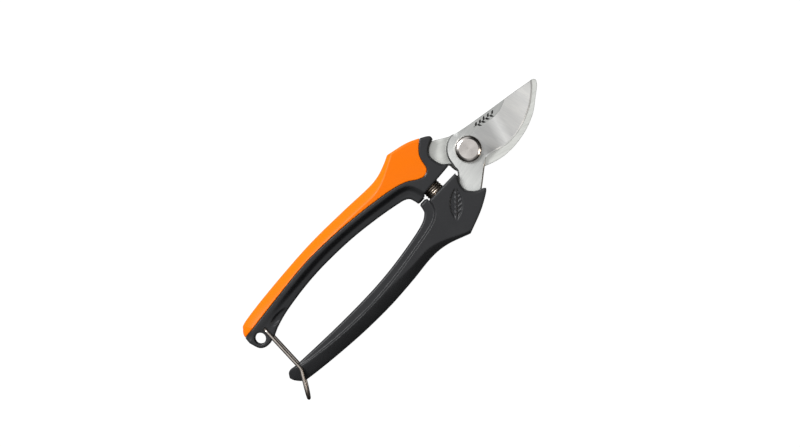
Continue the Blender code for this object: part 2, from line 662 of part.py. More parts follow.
def make_spring():
    """The return spring, and the cup with a peg that holds each of its ends."""
    peg_radius = SPRING_RADIUS - SPRING_WIRE / 2 - GAP
    back = GAP
    face = back + CUP_THICKNESS
    for name, floor_y, toward in (
        ("hook_spring_cup", HOOK_POCKET_Y, -1), ("blade_spring_cup", BLADE_POCKET_Y, 1),
    ):
        cup = turned(name, [
            (0.0, face + CUP_PEG_HEIGHT), (peg_radius, face + CUP_PEG_HEIGHT), (peg_radius, face),
            (POCKET_RADIUS - GAP, face), (POCKET_RADIUS - GAP, back), (0.0, back),
        ], steps=32)
        cup.location = (SPRING_X * MM, floor_y * MM, MID_Z * MM)
        cup.rotation_euler.x = math.radians(-90 * toward)
        add_part(cup, BOLT_STEEL)
    top = SPRING_TOP_Y - SPRING_WIRE / 2 - GAP
    bottom = SPRING_BOTTOM_Y + SPRING_WIRE / 2 + GAP
    per_turn = 12
    count = SPRING_TURNS * per_turn
    points = [
        Vector((
            SPRING_X + SPRING_RADIUS * math.cos(2 * math.pi * i / per_turn),
            bottom + (top - bottom) * i / count,
            MID_Z + SPRING_RADIUS * math.sin(2 * math.pi * i / per_turn),
        ))
        for i in range(count + 1)
    ]
    add_part(wire("return_spring", points, SPRING_WIRE), SPRING_STEEL)


def make_latch():
    """The wire loop: a stub in each side of the tail, two legs, and a round end past the blade's handle."""
    front = MID_Z + LATCH_HALF_WIDTH
    back = MID_Z - LATCH_HALF_WIDTH
    end_radius = LATCH_HALF_WIDTH - 0.05
    corners = [
        ((*LATCH_PIVOT, front - LATCH_STUB), 0.0), ((*LATCH_PIVOT, front), LATCH_WIRE),
        ((*LATCH_BEND, front), 3 * LATCH_WIRE), ((*LATCH_TIP, front), end_radius),
        ((*LATCH_TIP, back), end_radius), ((*LATCH_BEND, back), 3 * LATCH_WIRE),
        ((*LATCH_PIVOT, back), LATCH_WIRE), ((*LATCH_PIVOT, back + LATCH_STUB), 0.0),
    ]
    latch = wire("wire_latch", rounded_path(corners), LATCH_WIRE)
    pivot = Vector((*LATCH_PIVOT, MID_Z)) * MM
    latch.data.transform(Matrix.Translation(-pivot))
    latch.location = pivot
    add_part(latch, SPRING_STEEL)


make_cutting_blade()
make_counter_blade()
make_pivot()
make_hook_handle()
make_blade_handle()
make_tang_pins()
make_buffers()
make_spring()
make_latch()
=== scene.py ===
"""Bypass pruning shears, shut and latched, lying on their back."""

import math

import bmesh
import bpy
import numpy as np
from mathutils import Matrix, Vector
from mathutils.geometry import delaunay_2d_cdt


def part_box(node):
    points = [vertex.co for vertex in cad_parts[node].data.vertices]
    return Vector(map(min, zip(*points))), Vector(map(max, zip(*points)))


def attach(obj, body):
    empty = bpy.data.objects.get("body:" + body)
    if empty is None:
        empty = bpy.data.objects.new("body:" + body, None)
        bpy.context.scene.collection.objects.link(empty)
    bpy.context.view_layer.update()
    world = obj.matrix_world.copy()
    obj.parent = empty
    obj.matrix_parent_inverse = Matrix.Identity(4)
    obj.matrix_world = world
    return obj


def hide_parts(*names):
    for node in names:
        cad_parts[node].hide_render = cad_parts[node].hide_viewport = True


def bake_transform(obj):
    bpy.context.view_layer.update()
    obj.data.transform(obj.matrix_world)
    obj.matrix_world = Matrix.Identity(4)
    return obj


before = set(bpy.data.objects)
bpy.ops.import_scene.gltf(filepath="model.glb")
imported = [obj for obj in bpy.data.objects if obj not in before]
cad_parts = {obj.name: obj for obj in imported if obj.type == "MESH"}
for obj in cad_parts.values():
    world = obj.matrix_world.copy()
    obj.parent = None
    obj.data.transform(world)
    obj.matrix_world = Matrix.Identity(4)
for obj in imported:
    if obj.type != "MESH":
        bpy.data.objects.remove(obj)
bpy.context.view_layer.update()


# ---- Blade handle: black glass-filled nylon, moulded over the blade's tang ----
# One deep moulding: a flat face that rolls off to the palm side, a step down to the thinner band that the
# fingers pull on, and a stop at the end of that band. A leaf is sunk in its head.
def flow(points, per=8):
    """A smooth open run through the points, as Catmull-Rom."""
    knots = np.array(points, float)
    knots = np.vstack([2 * knots[0] - knots[1], knots, 2 * knots[-1] - knots[-2]])
    spans = []
    for a, b, c, d in zip(knots, knots[1:], knots[2:], knots[3:]):
        t = (np.arange(per) / per)[:, None]
        spans.append(0.5 * (
            2 * b + (c - a) * t + (2 * a - 5 * b + 4 * c - d) * t ** 2 + (3 * b - a - 3 * c + d) * t ** 3
        ))
    return np.vstack(spans + [knots[-2:-1]])


def outline(*runs, per=8):
    """A closed outline from smooth runs that meet at corners."""
    closed = [run + following[:1] for run, following in zip(runs, runs[1:] + runs[:1])]
    return np.vstack([flow(run, per)[:-1] for run in closed])


def distance_to(line, x, y, closed=False):
    """How far each point (x, y) is from a line of points."""
    starts = line if closed else line[:-1]
    ends = np.roll(line, -1, axis=0) if closed else line[1:]
    best = np.full(np.broadcast(x, y).shape, np.inf)
    for (ax, ay), (bx, by) in zip(starts, ends):
        dx, dy = bx - ax, by - ay
        t = np.clip(((x - ax) * dx + (y - ay) * dy) / (dx * dx + dy * dy), 0.0, 1.0)
        best = np.minimum(best, (x - ax - t * dx) ** 2 + (y - ay - t * dy) ** 2)
    return np.sqrt(best)


def depth_in(line, x, y):
    """How deep each point is inside a closed outline, below zero outside."""
    inside = np.zeros(np.broadcast(x, y).shape, bool)
    for (ax, ay), (bx, by) in zip(line, np.roll(line, -1, axis=0)):
        if ay == by:
            continue
        crosses = ((ay > y) != (by > y)) & (x < (bx - ax) * (y - ay) / (by - ay) + ax)
        inside ^= crosses
    far = distance_to(line, x, y, closed=True)
    return np.where(inside, far, -far)


def ease(value, low, high):
    """0 at low and 1 at high, smooth between."""
    t = np.clip((value - low) / (high - low), 0.0, 1.0)
    return t * t * (3 - 2 * t)


def both(a, b, round_by):
    """The solid inside a and inside b, where each is above zero inside, with a rounded edge."""
    blend = np.clip(0.5 - 0.5 * (a - b) / round_by, 0.0, 1.0)
    return b + (a - b) * blend - round_by * blend * (1 - blend)


def settled(points, depth, pitch, rounds=2, reach=0.04):
    """The points moved along the depth's own slope onto the surface where it is zero."""
    for _ in range(rounds):
        here = depth(*points.T)
        slope = np.stack([
            (depth(*(points + reach * step).T) - depth(*(points - reach * step).T)) / (2 * reach)
            for step in np.eye(3)
        ], 1)
        steep = np.maximum((slope ** 2).sum(1), 0.25)
        move = -slope * (here / steep)[:, None]
        length = np.maximum(np.linalg.norm(move, axis=1), 1e-9)
        points = points + move * np.minimum(1.0, 0.4 * pitch / length)[:, None]
    return points


def skin(name, depth, low, high, pitch=0.5):
    """The surface where depth(x, y, z) is zero, in millimetres, as a closed mesh of quads."""
    axes = [np.arange(a, b + pitch, pitch) for a, b in zip(low, high)]
    value = depth(axes[0][:, None, None], axes[1][None, :, None], axes[2][None, None, :])
    value = np.where(np.abs(value) < 1e-6, 1e-6, value)
    cells = tuple(n - 1 for n in value.shape)
    total = np.zeros(cells + (3,))
    count = np.zeros(cells)
    quads = []
    number = np.arange(np.prod(cells)).reshape(cells)
    for axis in range(3):
        a = np.take(value, range(cells[axis]), axis)
        b = np.take(value, range(1, cells[axis] + 1), axis)
        crossing = np.argwhere((a > 0) != (b > 0))
        at_a = value[tuple(crossing.T)]
        ahead = crossing.copy()
        ahead[:, axis] += 1
        at_b = value[tuple(ahead.T)]
        place = crossing.astype(float)
        place[:, axis] += at_a / (at_a - at_b)
        first, second = [i for i in range(3) if i != axis]
        corners = []
        for step_one, step_two in ((0, 0), (1, 0), (1, 1), (0, 1)):
            cell = crossing.copy()
            cell[:, first] -= step_one
            cell[:, second] -= step_two
            np.add.at(total, tuple(cell.T), place)
            np.add.at(count, tuple(cell.T), 1)
            corners.append(number[tuple(cell.T)])
        quad = np.stack(corners, 1)
        forward = (at_a > 0) == (axis != 1)
        quads.append(np.where(forward[:, None], quad, quad[:, ::-1]))
    quads = np.vstack(quads)
    used = np.flatnonzero(count)
    renumber = np.zeros(count.size, int)
    renumber[used] = np.arange(len(used))
    points = (total.reshape(-1, 3)[used] / count.reshape(-1)[used, None]) * pitch + np.array(low)
    points = settled(points, depth, pitch)
    mesh = bpy.data.meshes.new(name)
    mesh.from_pydata(points * MM, [], renumber[quads])
    mesh.shade_smooth()
    return mesh


def tapered_half(x):
    """Half of a handle's thickness: full at the grip, thinner at the tail."""
    return TAIL_HALF + (HANDLE_HALF - TAIL_HALF) * ease(x, TAPER_FROM, TAPER_TO)


def rolled_off(out, width, drop):
    """How far a face has dropped at this distance from the edge that it rolls off to."""
    u = np.clip(1 - out / width, 0.0, 1.0)
    return drop * (0.8 * u * u / (u + 0.15) + 0.3 * (1 - np.sqrt(1 - 0.985 * u * u)))


MM = 0.001
HANDLE_LOW, HANDLE_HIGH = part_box("blade_handle_body")
MID_Z = (HANDLE_LOW.z + HANDLE_HIGH.z) / 2 / MM
BLADE_LOW, BLADE_HIGH = (corner.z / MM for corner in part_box("cutting_blade"))
HANDLE_HALF = (HANDLE_HIGH.z - HANDLE_LOW.z) / 2 / MM
BAND_HALF = 5.5
TAIL_HALF = 6.1
TAPER_FROM, TAPER_TO = -144.0, -112.0
EDGE_ROUND, SLOT_ROUND, POCKET_ROUND = 1.3, 0.3, 0.4
MOUTH_ROLL, MOUTH_DROP = 1.3, 1.8
PLATE_CLEARANCE, PIN_CLEARANCE, POCKET_CLEARANCE = 0.2, 0.15, 0.3

BLADE_PALM = [
    (-156.0, -15.2), (-155.0, -18.0), (-151.8, -21.6), (-147.0, -23.0), (-130.0, -25.3), (-110.0, -27.2),
    (-90.0, -27.9), (-72.0, -27.2), (-56.0, -26.0), (-45.0, -27.3),
]
BLADE_HEAD_FRONT = [(-32.2, -32.2), (-20.0, -27.9), (-12.0, -23.9), (-8.9, -21.6)]
BLADE_MOUTH = [
    (-9.6, -20.3), (-13.7, -18.2), (-16.6, -14.8), (-17.1, -12.0), (-16.2, -9.0), (-15.0, -7.0),
    (-14.2, -6.1),
]
BLADE_HEAD_GAP = [(-14.6, -5.5), (-14.85, -4.3), (-15.6, -3.8)]
BLADE_STOP = [(-34.9, -3.8), (-34.9, -2.2)]
BLADE_INNER = [
    (-39.8, -2.0), (-40.4, -4.6), (-41.6, -6.9), (-47.0, -9.8), (-60.0, -12.3), (-78.0, -14.4),
    (-96.0, -15.1), (-120.0, -14.6), (-146.5, -13.1), (-153.0, -12.4),
]
BLADE_STEP = [
    (-34.4, -2.0), (-35.2, -6.9), (-37.6, -10.8), (-44.0, -13.9), (-60.0, -16.6), (-78.0, -18.9),
    (-98.0, -20.0), (-120.0, -18.9), (-138.0, -16.5), (-147.0, -14.3), (-152.0, -11.0),
]
STEP_REGION_END = [(-175.0, -8.0), (-175.0, -50.0), (20.0, -50.0), (20.0, 5.0)]
BLADE_STEP_HALF = 0.45
LEAF_BASE, LEAF_TIP, LEAF_WIDTH, LEAF_SUNK = (-32.6, -22.0), (-19.6, -9.2), 7.0, 0.8
MIDRIB_HALF, VEIN_PITCH, VEIN_LEAN = 0.5, 2.6, 0.9
BLADE_PLATE_TANG = [
    (-12.6, -3.9), (-15.2, -6.9), (-19.0, -10.4), (-25.0, -13.2), (-36.0, -14.9), (-50.0, -17.8),
    (-64.0, -20.4), (-65.6, -22.2), (-63.0, -23.6), (-45.0, -23.8), (-28.0, -24.6), (-16.0, -22.9),
    (-10.2, -19.8), (-3.0, -14.6),
]
SPRING_LOW, SPRING_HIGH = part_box("return_spring")
SPRING_X = (SPRING_LOW.x + SPRING_HIGH.x) / 2 / MM
POCKET_RADIUS = (SPRING_HIGH.x - SPRING_LOW.x) / 2 / MM + POCKET_CLEARANCE


def beyond(step, far):
    """The plan region on the far side of a step line."""
    return np.vstack([flow(step), far])


def pocket(x, y, z, floor, mouth):
    """A round pocket along Y for the spring, as depth inside it."""
    across = POCKET_RADIUS - np.hypot(x - SPRING_X, z - MID_Z)
    low, high = sorted((floor, mouth))
    return np.minimum(across, np.minimum(y - low, high - y))


def slot(x, y, z, tang, low, high):
    """The space round a plate's tang, as depth inside it."""
    plan = depth_in(tang, x, y) + PLATE_CLEARANCE
    return np.minimum(plan, np.minimum(z - low, high - z) + PLATE_CLEARANCE)


def leaf(x, y, base, tip, width):
    """Depth inside a leaf's plan shape, and how far each point is from its midrib and along it."""
    along = np.array(tip) - np.array(base)
    length = np.hypot(*along)
    ux, uy = along / length
    s = (x - base[0]) * ux + (y - base[1]) * uy
    t = -(x - base[0]) * uy + (y - base[1]) * ux
    half = length / 2
    radius = (half * half + width * width / 4) / width
    sink = radius - width / 2
    inside = radius - np.maximum(np.hypot(s - half, t - sink), np.hypot(s - half, t + sink))
    return inside, np.abs(t), s


def blade_handle_depth(x, y, z):
    """The black handle with its slot, pocket, pin holes and leaf."""
    up = np.abs(z - MID_Z)
    palm = distance_to(flow(BLADE_PALM + BLADE_HEAD_FRONT[:1]), x, y)
    # The palm side rolls off widest and deepest along the grip, less towards the head and the tail.
    width = 7.6 - 2.4 * ease(x, -88.0, -58.0) - 3.4 * ease(x, -58.0, -33.0)
    drop = 6.6 - 4.6 * ease(x, -60.0, -32.0) - 1.9 * ease(-x, -TAPER_TO, -TAPER_FROM)
    face = tapered_half(x) - rolled_off(palm, width, drop)
    raised = depth_in(beyond(BLADE_STEP, STEP_REGION_END), x, y)
    band = np.minimum(face, BAND_HALF)
    top = band + (face - band) * ease(raised, -BLADE_STEP_HALF, BLADE_STEP_HALF)
    inside, rib, along = leaf(x, y, LEAF_BASE, LEAF_TIP, LEAF_WIDTH)
    veins = 0.6 + 0.4 * (0.5 + 0.5 * np.cos((along - VEIN_LEAN * rib) * 2 * math.pi / VEIN_PITCH))
    midrib = 1 - 0.85 * ease(MIDRIB_HALF - rib, -0.25, 0.25)
    sunk = LEAF_SUNK * ease(inside, -0.1, 0.5) * midrib * veins
    top = top - np.where(z > MID_Z, sunk, 0.0)
    top = top - rolled_off(distance_to(flow(BLADE_MOUTH), x, y), MOUTH_ROLL, MOUTH_DROP)
    body = both(depth_in(BLADE_HANDLE, x, y), top - up, EDGE_ROUND)
    body = both(body, -slot(x, y, z, BLADE_TANG_SLOT, BLADE_LOW, BLADE_HIGH), SLOT_ROUND)
    body = both(body, -pocket(x, y, z, BLADE_POCKET_FLOOR, 0.0), POCKET_ROUND)
    for pin in ("blade_pin_front", "blade_pin_rear"):
        body = np.minimum(body, -pin_hole(x, y, z, pin))
    return body


def pin_hole(x, y, z, pin):
    """The hole that a cross pin is driven into from the back, as depth inside it."""
    low, high = (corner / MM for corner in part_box(pin))
    radius = (high.x - low.x) / 2 + PIN_CLEARANCE
    across = radius - np.hypot(x - (low.x + high.x) / 2, y - (low.y + high.y) / 2)
    return np.minimum(across, high.z + PLATE_CLEARANCE - z)


BLADE_HANDLE = outline(BLADE_PALM, BLADE_HEAD_FRONT, BLADE_MOUTH, BLADE_HEAD_GAP, BLADE_STOP, BLADE_INNER)
BLADE_TANG_SLOT = np.vstack([flow(BLADE_PLATE_TANG), [(4.0, -10.0), (0.0, 0.0)]])
BLADE_POCKET_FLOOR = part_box("blade_spring_cup")[0].y / MM - POCKET_CLEARANCE


def node(tree, kind, inputs=(), **settings):
    """A node with its settings, and with inputs given by name, as values or as other nodes' outputs."""
    made = tree.nodes.new(kind)
    for key, value in settings.items():
        setattr(made, key, value)
    for key, value in dict(inputs).items():
        if isinstance(value, bpy.types.NodeSocket):
            tree.links.new(value, made.inputs[key])
        else:
            made.inputs[key].default_value = value
    return made


def group(name, inputs, outputs, kind="ShaderNodeTree"):
    """A node group with named inputs (name: default) and outputs (name: type), and its two end nodes."""
    tree = bpy.data.node_groups.new(name, kind)
    types = {float: "NodeSocketFloat", tuple: "NodeSocketVector"}
    for key, default in inputs.items():
        given = default if isinstance(default, str) else types[type(default)]
        socket = tree.interface.new_socket(key, in_out="INPUT", socket_type=given)
        if given != default:
            socket.default_value = default
    for key, given in outputs.items():
        tree.interface.new_socket(key, in_out="OUTPUT", socket_type=given)
    return tree, tree.nodes.new("NodeGroupInput"), tree.nodes.new("NodeGroupOutput")


TEXTURE_OUTPUTS = {"Height": "NodeSocketFloat", "Shine": "NodeSocketFloat"}


def ranged(tree, value, low, high, at_low, at_high, **settings):
    """A value from the range low to high, taken over to the range at_low to at_high."""
    made = node(tree, "ShaderNodeMapRange", {
        "Value": value, "From Min": low, "From Max": high, "To Min": at_low, "To Max": at_high,
    }, **settings)
    return made.outputs["Result"]


def moulded_grain():
    """The fine spark-eroded texture of a mould, with slow patches of more and less shine."""
    tree, given, result = group("moulded_grain", {"Vector": (0.0, 0.0, 0.0)}, TEXTURE_OUTPUTS)
    fine = node(tree, "ShaderNodeTexNoise", {
        "Vector": given.outputs["Vector"], "Scale": 4200.0, "Detail": 2.0, "Roughness": 0.6,
    })
    slow = node(tree, "ShaderNodeTexNoise", {
        "Vector": given.outputs["Vector"], "Scale": 85.0, "Detail": 4.0,
    })
    tree.links.new(fine.outputs["Fac"], result.inputs["Height"])
    tree.links.new(slow.outputs["Fac"], result.inputs["Shine"])
    return tree


def blank_material(name):
    """A new material, with its node tree, its shader and the piece's own coordinates."""
    material = bpy.data.materials.new(name)
    material.use_nodes = True
    tree = material.node_tree
    return material, tree, tree.nodes["Principled BSDF"], node(tree, "ShaderNodeTexCoord").outputs["Object"]


def two_toned(tree, factor, one, other):
    """One colour, with the other in patches."""
    colours = {"Factor": factor, 6: (*one, 1.0), 7: (*other, 1.0)}
    return node(tree, "ShaderNodeMix", colours, data_type="RGBA").outputs[2]


def textured(tree, shader, texture, roughness, relief, distance):
    """Gives a shader its roughness and its fine relief from a texture's shine and height."""
    gloss = ranged(tree, texture.outputs["Shine"], 0.3, 0.7, *roughness)
    tree.links.new(gloss, shader.inputs["Roughness"])
    bump = node(tree, "ShaderNodeBump", {
        "Height": texture.outputs["Height"], "Strength": relief, "Distance": distance,
    })
    tree.links.new(bump.outputs["Normal"], shader.inputs["Normal"])


def moulding(name, colour, duller, roughness, relief, specular=0.5):
    """A moulded finish: its colour, a duller tone of it in patches, and the mould's texture."""
    material, tree, shader, place = blank_material(name)
    grain = node(tree, "ShaderNodeGroup", node_tree=MOULDED_GRAIN)
    tree.links.new(place, grain.inputs["Vector"])
    tree.links.new(two_toned(tree, grain.outputs["Shine"], colour, duller), shader.inputs["Base Color"])
    textured(tree, shader, grain, roughness, relief, 0.00005)
    shader.inputs["Specular IOR Level"].default_value = specular
    return material


MOULDED_GRAIN = moulded_grain()
BLACK_NYLON = moulding(
    "black_nylon", (0.027, 0.0275, 0.0295), (0.033, 0.0335, 0.0355), (0.34, 0.44), 0.3, specular=0.16,
)


def place_piece(name, mesh, body, slot_name, replaced, *materials):
    """Puts a mesh in the scene as a piece that stands for CAD nodes, and rides on a body if one is given."""
    piece = bpy.data.objects.new(name, mesh)
    bpy.context.scene.collection.objects.link(piece)
    for material in materials:
        mesh.materials.append(material)
    if body:
        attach(piece, body)
    if replaced:
        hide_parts(*replaced)
    return piece


place_piece(
    "blade_handle", skin("blade_handle", blade_handle_depth, (-157.5, -33.5, -0.6), (-7.5, -1.0, 17.6)),
    "blade_side", "black_nylon", ["blade_handle_body"], BLACK_NYLON,
)


# ---- Hook handle: the same black nylon over the hook's tang, with the eye to hang it by ----
# It mirrors the blade's handle. Its head and palm side are cut back by a skin's depth for the soft grip, and
# its tail has the eye and, beside it, the holes that the latch swings in.
HOOK_LOW, HOOK_HIGH = (corner.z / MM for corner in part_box("counter_blade"))
HOOK_PALM = [
    (-156.9, 13.2), (-156.3, 18.0), (-154.3, 21.0), (-150.0, 23.2), (-130.0, 25.2), (-98.0, 26.7),
    (-72.0, 25.9), (-53.0, 24.7), (-45.0, 25.1), (-38.0, 27.1),
]
HOOK_HEAD_FRONT = [(-32.6, 29.4), (-21.0, 26.4), (-13.0, 22.4), (-9.4, 19.8)]
HOOK_MOUTH = [(-9.4, 17.5), (-13.8, 15.7), (-16.6, 12.9), (-17.1, 10.0), (-16.4, 6.6), (-15.4, 4.5)]
HOOK_HEAD_GAP = [(-13.5, 2.6), (-14.3, 1.7), (-16.0, 1.35)]
HOOK_STOP = [(-34.2, 0.4), (-34.9, -0.6)]
HOOK_INNER = [
    (-39.9, -0.9), (-40.3, 1.6), (-41.2, 4.2), (-43.4, 5.8), (-47.0, 6.9), (-60.0, 9.6), (-78.0, 12.2),
    (-98.0, 13.3), (-114.0, 12.8), (-130.0, 10.9), (-140.0, 8.5), (-145.6, 6.3), (-151.0, 5.4),
    (-155.0, 7.6),
]
HOOK_STEP = [
    (-33.9, -3.0), (-34.6, 3.4), (-37.0, 8.9), (-42.0, 11.5), (-50.0, 13.1), (-64.0, 15.4), (-80.0, 17.3),
    (-98.0, 18.2), (-120.0, 17.2), (-140.0, 15.5), (-152.0, 14.6), (-160.0, 14.2),
]
GRIP_EDGE = [
    (-162.0, 16.9), (-150.0, 17.5), (-130.0, 19.4), (-112.0, 20.9), (-98.0, 21.2), (-80.0, 20.1),
    (-60.0, 17.6), (-45.0, 14.9), (-36.4, 12.1), (-30.8, 8.4), (-26.8, 7.0), (-23.6, 8.4), (-22.5, 11.0),
    (-21.7, 14.4), (-19.6, 18.2), (-13.9, 23.0), (-10.0, 26.0),
]
HOOK_PLATE_TANG = [
    (-13.2, 1.0), (-15.0, 3.0), (-17.0, 5.0), (-23.0, 9.4), (-36.0, 12.6), (-50.0, 15.7), (-64.0, 18.4),
    (-65.6, 20.4), (-63.0, 22.0), (-48.0, 21.2), (-30.0, 20.4), (-16.0, 19.2), (-9.9, 16.9), (-4.6, 13.6),
]
HOOK_HANDLE = outline(HOOK_PALM, HOOK_HEAD_FRONT, HOOK_MOUTH, HOOK_HEAD_GAP, HOOK_STOP, HOOK_INNER)
HOOK_TANG_SLOT = np.vstack([flow(HOOK_PLATE_TANG), [(1.0, 11.0), (0.0, 0.0)]])
HOOK_POCKET_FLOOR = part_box("hook_spring_cup")[1].y / MM + POCKET_CLEARANCE
HOOK_STEP_REGION_END = [(-175.0, 14.0), (-175.0, 50.0), (20.0, 50.0), (20.0, -5.0)]
THUMB_HOLLOW, THUMB_HALF_LENGTH, THUMB_HALF_WIDTH, THUMB_SUNK = (-135.6, 11.6), 6.6, 2.2, 0.9
GRIP_REGION = beyond(GRIP_EDGE, [(-10.0, 45.0), (-170.0, 45.0)])
EYE_CENTRE, EYE_RADIUS = (-151.0, 11.0), 3.05
LATCH_LOW, LATCH_HIGH = (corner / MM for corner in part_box("wire_latch"))
LATCH_WIRE, LATCH_CLEARANCE = 1.9, 0.12
LATCH_PIVOT = (-145.7, 12.3)
GRIP_SKIN = 2.5
GRIP_SEAM = 0.06


def hook_handle_shape(x, y, z):
    """The handle with its grip on, before the two are parted."""
    up = np.abs(z - MID_Z)
    palm = distance_to(flow(HOOK_PALM[1:] + HOOK_HEAD_FRONT[:1]), x, y)
    # As on the other handle, but narrower, and its band is a little hollow next to the step.
    width = 5.6 - 3.2 * ease(x, -56.0, -34.0)
    drop = 4.6 - 2.8 * ease(x, -56.0, -32.0) - 1.0 * ease(-x, -TAPER_TO, -TAPER_FROM)
    face = tapered_half(x) - rolled_off(palm, width, drop)
    raised = depth_in(beyond(HOOK_STEP, HOOK_STEP_REGION_END), x, y)
    band = np.minimum(face, BAND_HALF) - 0.6 * ease(-raised, 1.4, 4.6) * ease(x, -150.0, -136.0)
    top = band + (face - band) * ease(raised, -2.1, 1.2)
    top = top - rolled_off(distance_to(flow(HOOK_MOUTH), x, y), MOUTH_ROLL, MOUTH_DROP)
    along, across = (x - THUMB_HOLLOW[0]) / THUMB_HALF_LENGTH, (y - THUMB_HOLLOW[1]) / THUMB_HALF_WIDTH
    top = top - THUMB_SUNK * ease(1 - along ** 2 - across ** 2, -0.15, 0.8)
    body = both(depth_in(HOOK_HANDLE, x, y), top - up, EDGE_ROUND)
    body = both(body, -slot(x, y, z, HOOK_TANG_SLOT, HOOK_LOW, HOOK_HIGH), SLOT_ROUND)
    body = both(body, -pocket(x, y, z, HOOK_POCKET_FLOOR, -2.0), POCKET_ROUND)
    return both(body, np.hypot(x - EYE_CENTRE[0], y - EYE_CENTRE[1]) - EYE_RADIUS, 0.8)


def hook_handle_depth(x, y, z):
    """The black part: what the grip leaves of the outside, and the core under it."""
    shape = hook_handle_shape(x, y, z)
    region = depth_in(GRIP_REGION, x, y)
    outer = both(shape, -region - GRIP_SEAM, 0.3)
    core = shape - GRIP_SKIN
    body = np.maximum(outer, core)
    latch_hole = LATCH_WIRE / 2 + LATCH_CLEARANCE - np.hypot(x - LATCH_PIVOT[0], y - LATCH_PIVOT[1])
    body = np.minimum(body, -latch_hole)
    for pin in ("hook_pin_front", "hook_pin_rear"):
        body = np.minimum(body, -pin_hole(x, y, z, pin))
    return body


place_piece(
    "hook_handle", skin("hook_handle", hook_handle_depth, (-158.5, -2.0, -0.6), (-7.5, 30.5, 17.6)),
    "hook_side", "black_nylon", ["hook_handle_body"], BLACK_NYLON,
)


# ---- Grip: soft orange rubber moulded over the hook handle's palm side and head ----
# A skin over both faces and round the palm side, from the tail to the mouth, with a tongue down the head.
def grip_depth(x, y, z):
    """The soft skin over the core, on its side of the seam."""
    shape = hook_handle_shape(x, y, z)
    region = depth_in(GRIP_REGION, x, y)
    outer = both(shape, region - GRIP_SEAM, 0.3)
    return np.minimum(outer, GRIP_SKIN - 0.3 - shape)


ORANGE_RUBBER = moulding(
    "orange_rubber", (0.95, 0.192, 0.002), (0.93, 0.178, 0.002), (0.32, 0.42), 0.22, specular=0.12,
)
place_piece(
    "orange_grip", skin("orange_grip", grip_depth, (-158.5, 4.0, -0.6), (-9.0, 30.5, 17.6)),
    "hook_side", "orange_grip", ["hook_handle_grip"], ORANGE_RUBBER,
)


# ---- Cutting blade: ground stainless steel, turning on a bush round the bolt ----
# A 3 mm plate with fine grinding lines left on it. One face is ground down from near the spine to the edge,
# the edge is honed, and the other edges are broken. Its tang goes into the black handle.
def anticlockwise(line):
    """A closed line turned, if need be, so that its inside is on its left."""
    following = np.roll(line, -1, axis=0)
    twice_area = (line[:, 0] * following[:, 1] - following[:, 0] * line[:, 1]).sum()
    return line if twice_area > 0 else line[::-1]


def inset(line, distance):
    """A closed anticlockwise line moved inwards, square to itself."""
    ahead = np.roll(line, -1, axis=0) - line
    ahead = ahead / np.hypot(*ahead.T)[:, None]
    back = np.roll(ahead, 1, axis=0)
    along = back + ahead
    inward = np.stack([-along[:, 1], along[:, 0]], 1)
    inward = inward / np.maximum(np.hypot(*inward.T), 1e-6)[:, None]
    square = np.maximum(inward[:, 0] * -back[:, 1] + inward[:, 1] * back[:, 0], 0.6)
    return line + inward * (distance / square)[:, None]


def ring(radius, steps=72, flat=None):
    """A circle round the pivot, or one with two flats across Y."""
    angles = np.arange(steps) * 2 * math.pi / steps
    across = radius * np.sin(angles)
    if flat:
        across = np.clip(across, -flat, flat)
    return np.stack([radius * np.cos(angles), across], 1)


CLEAR_OF_LINES = 0.5
SHARP_TURN = math.radians(18)


def arc(radius, degrees):
    """Points round the pivot at these angles."""
    return [(radius * math.cos(math.radians(a)), radius * math.sin(math.radians(a))) for a in degrees]


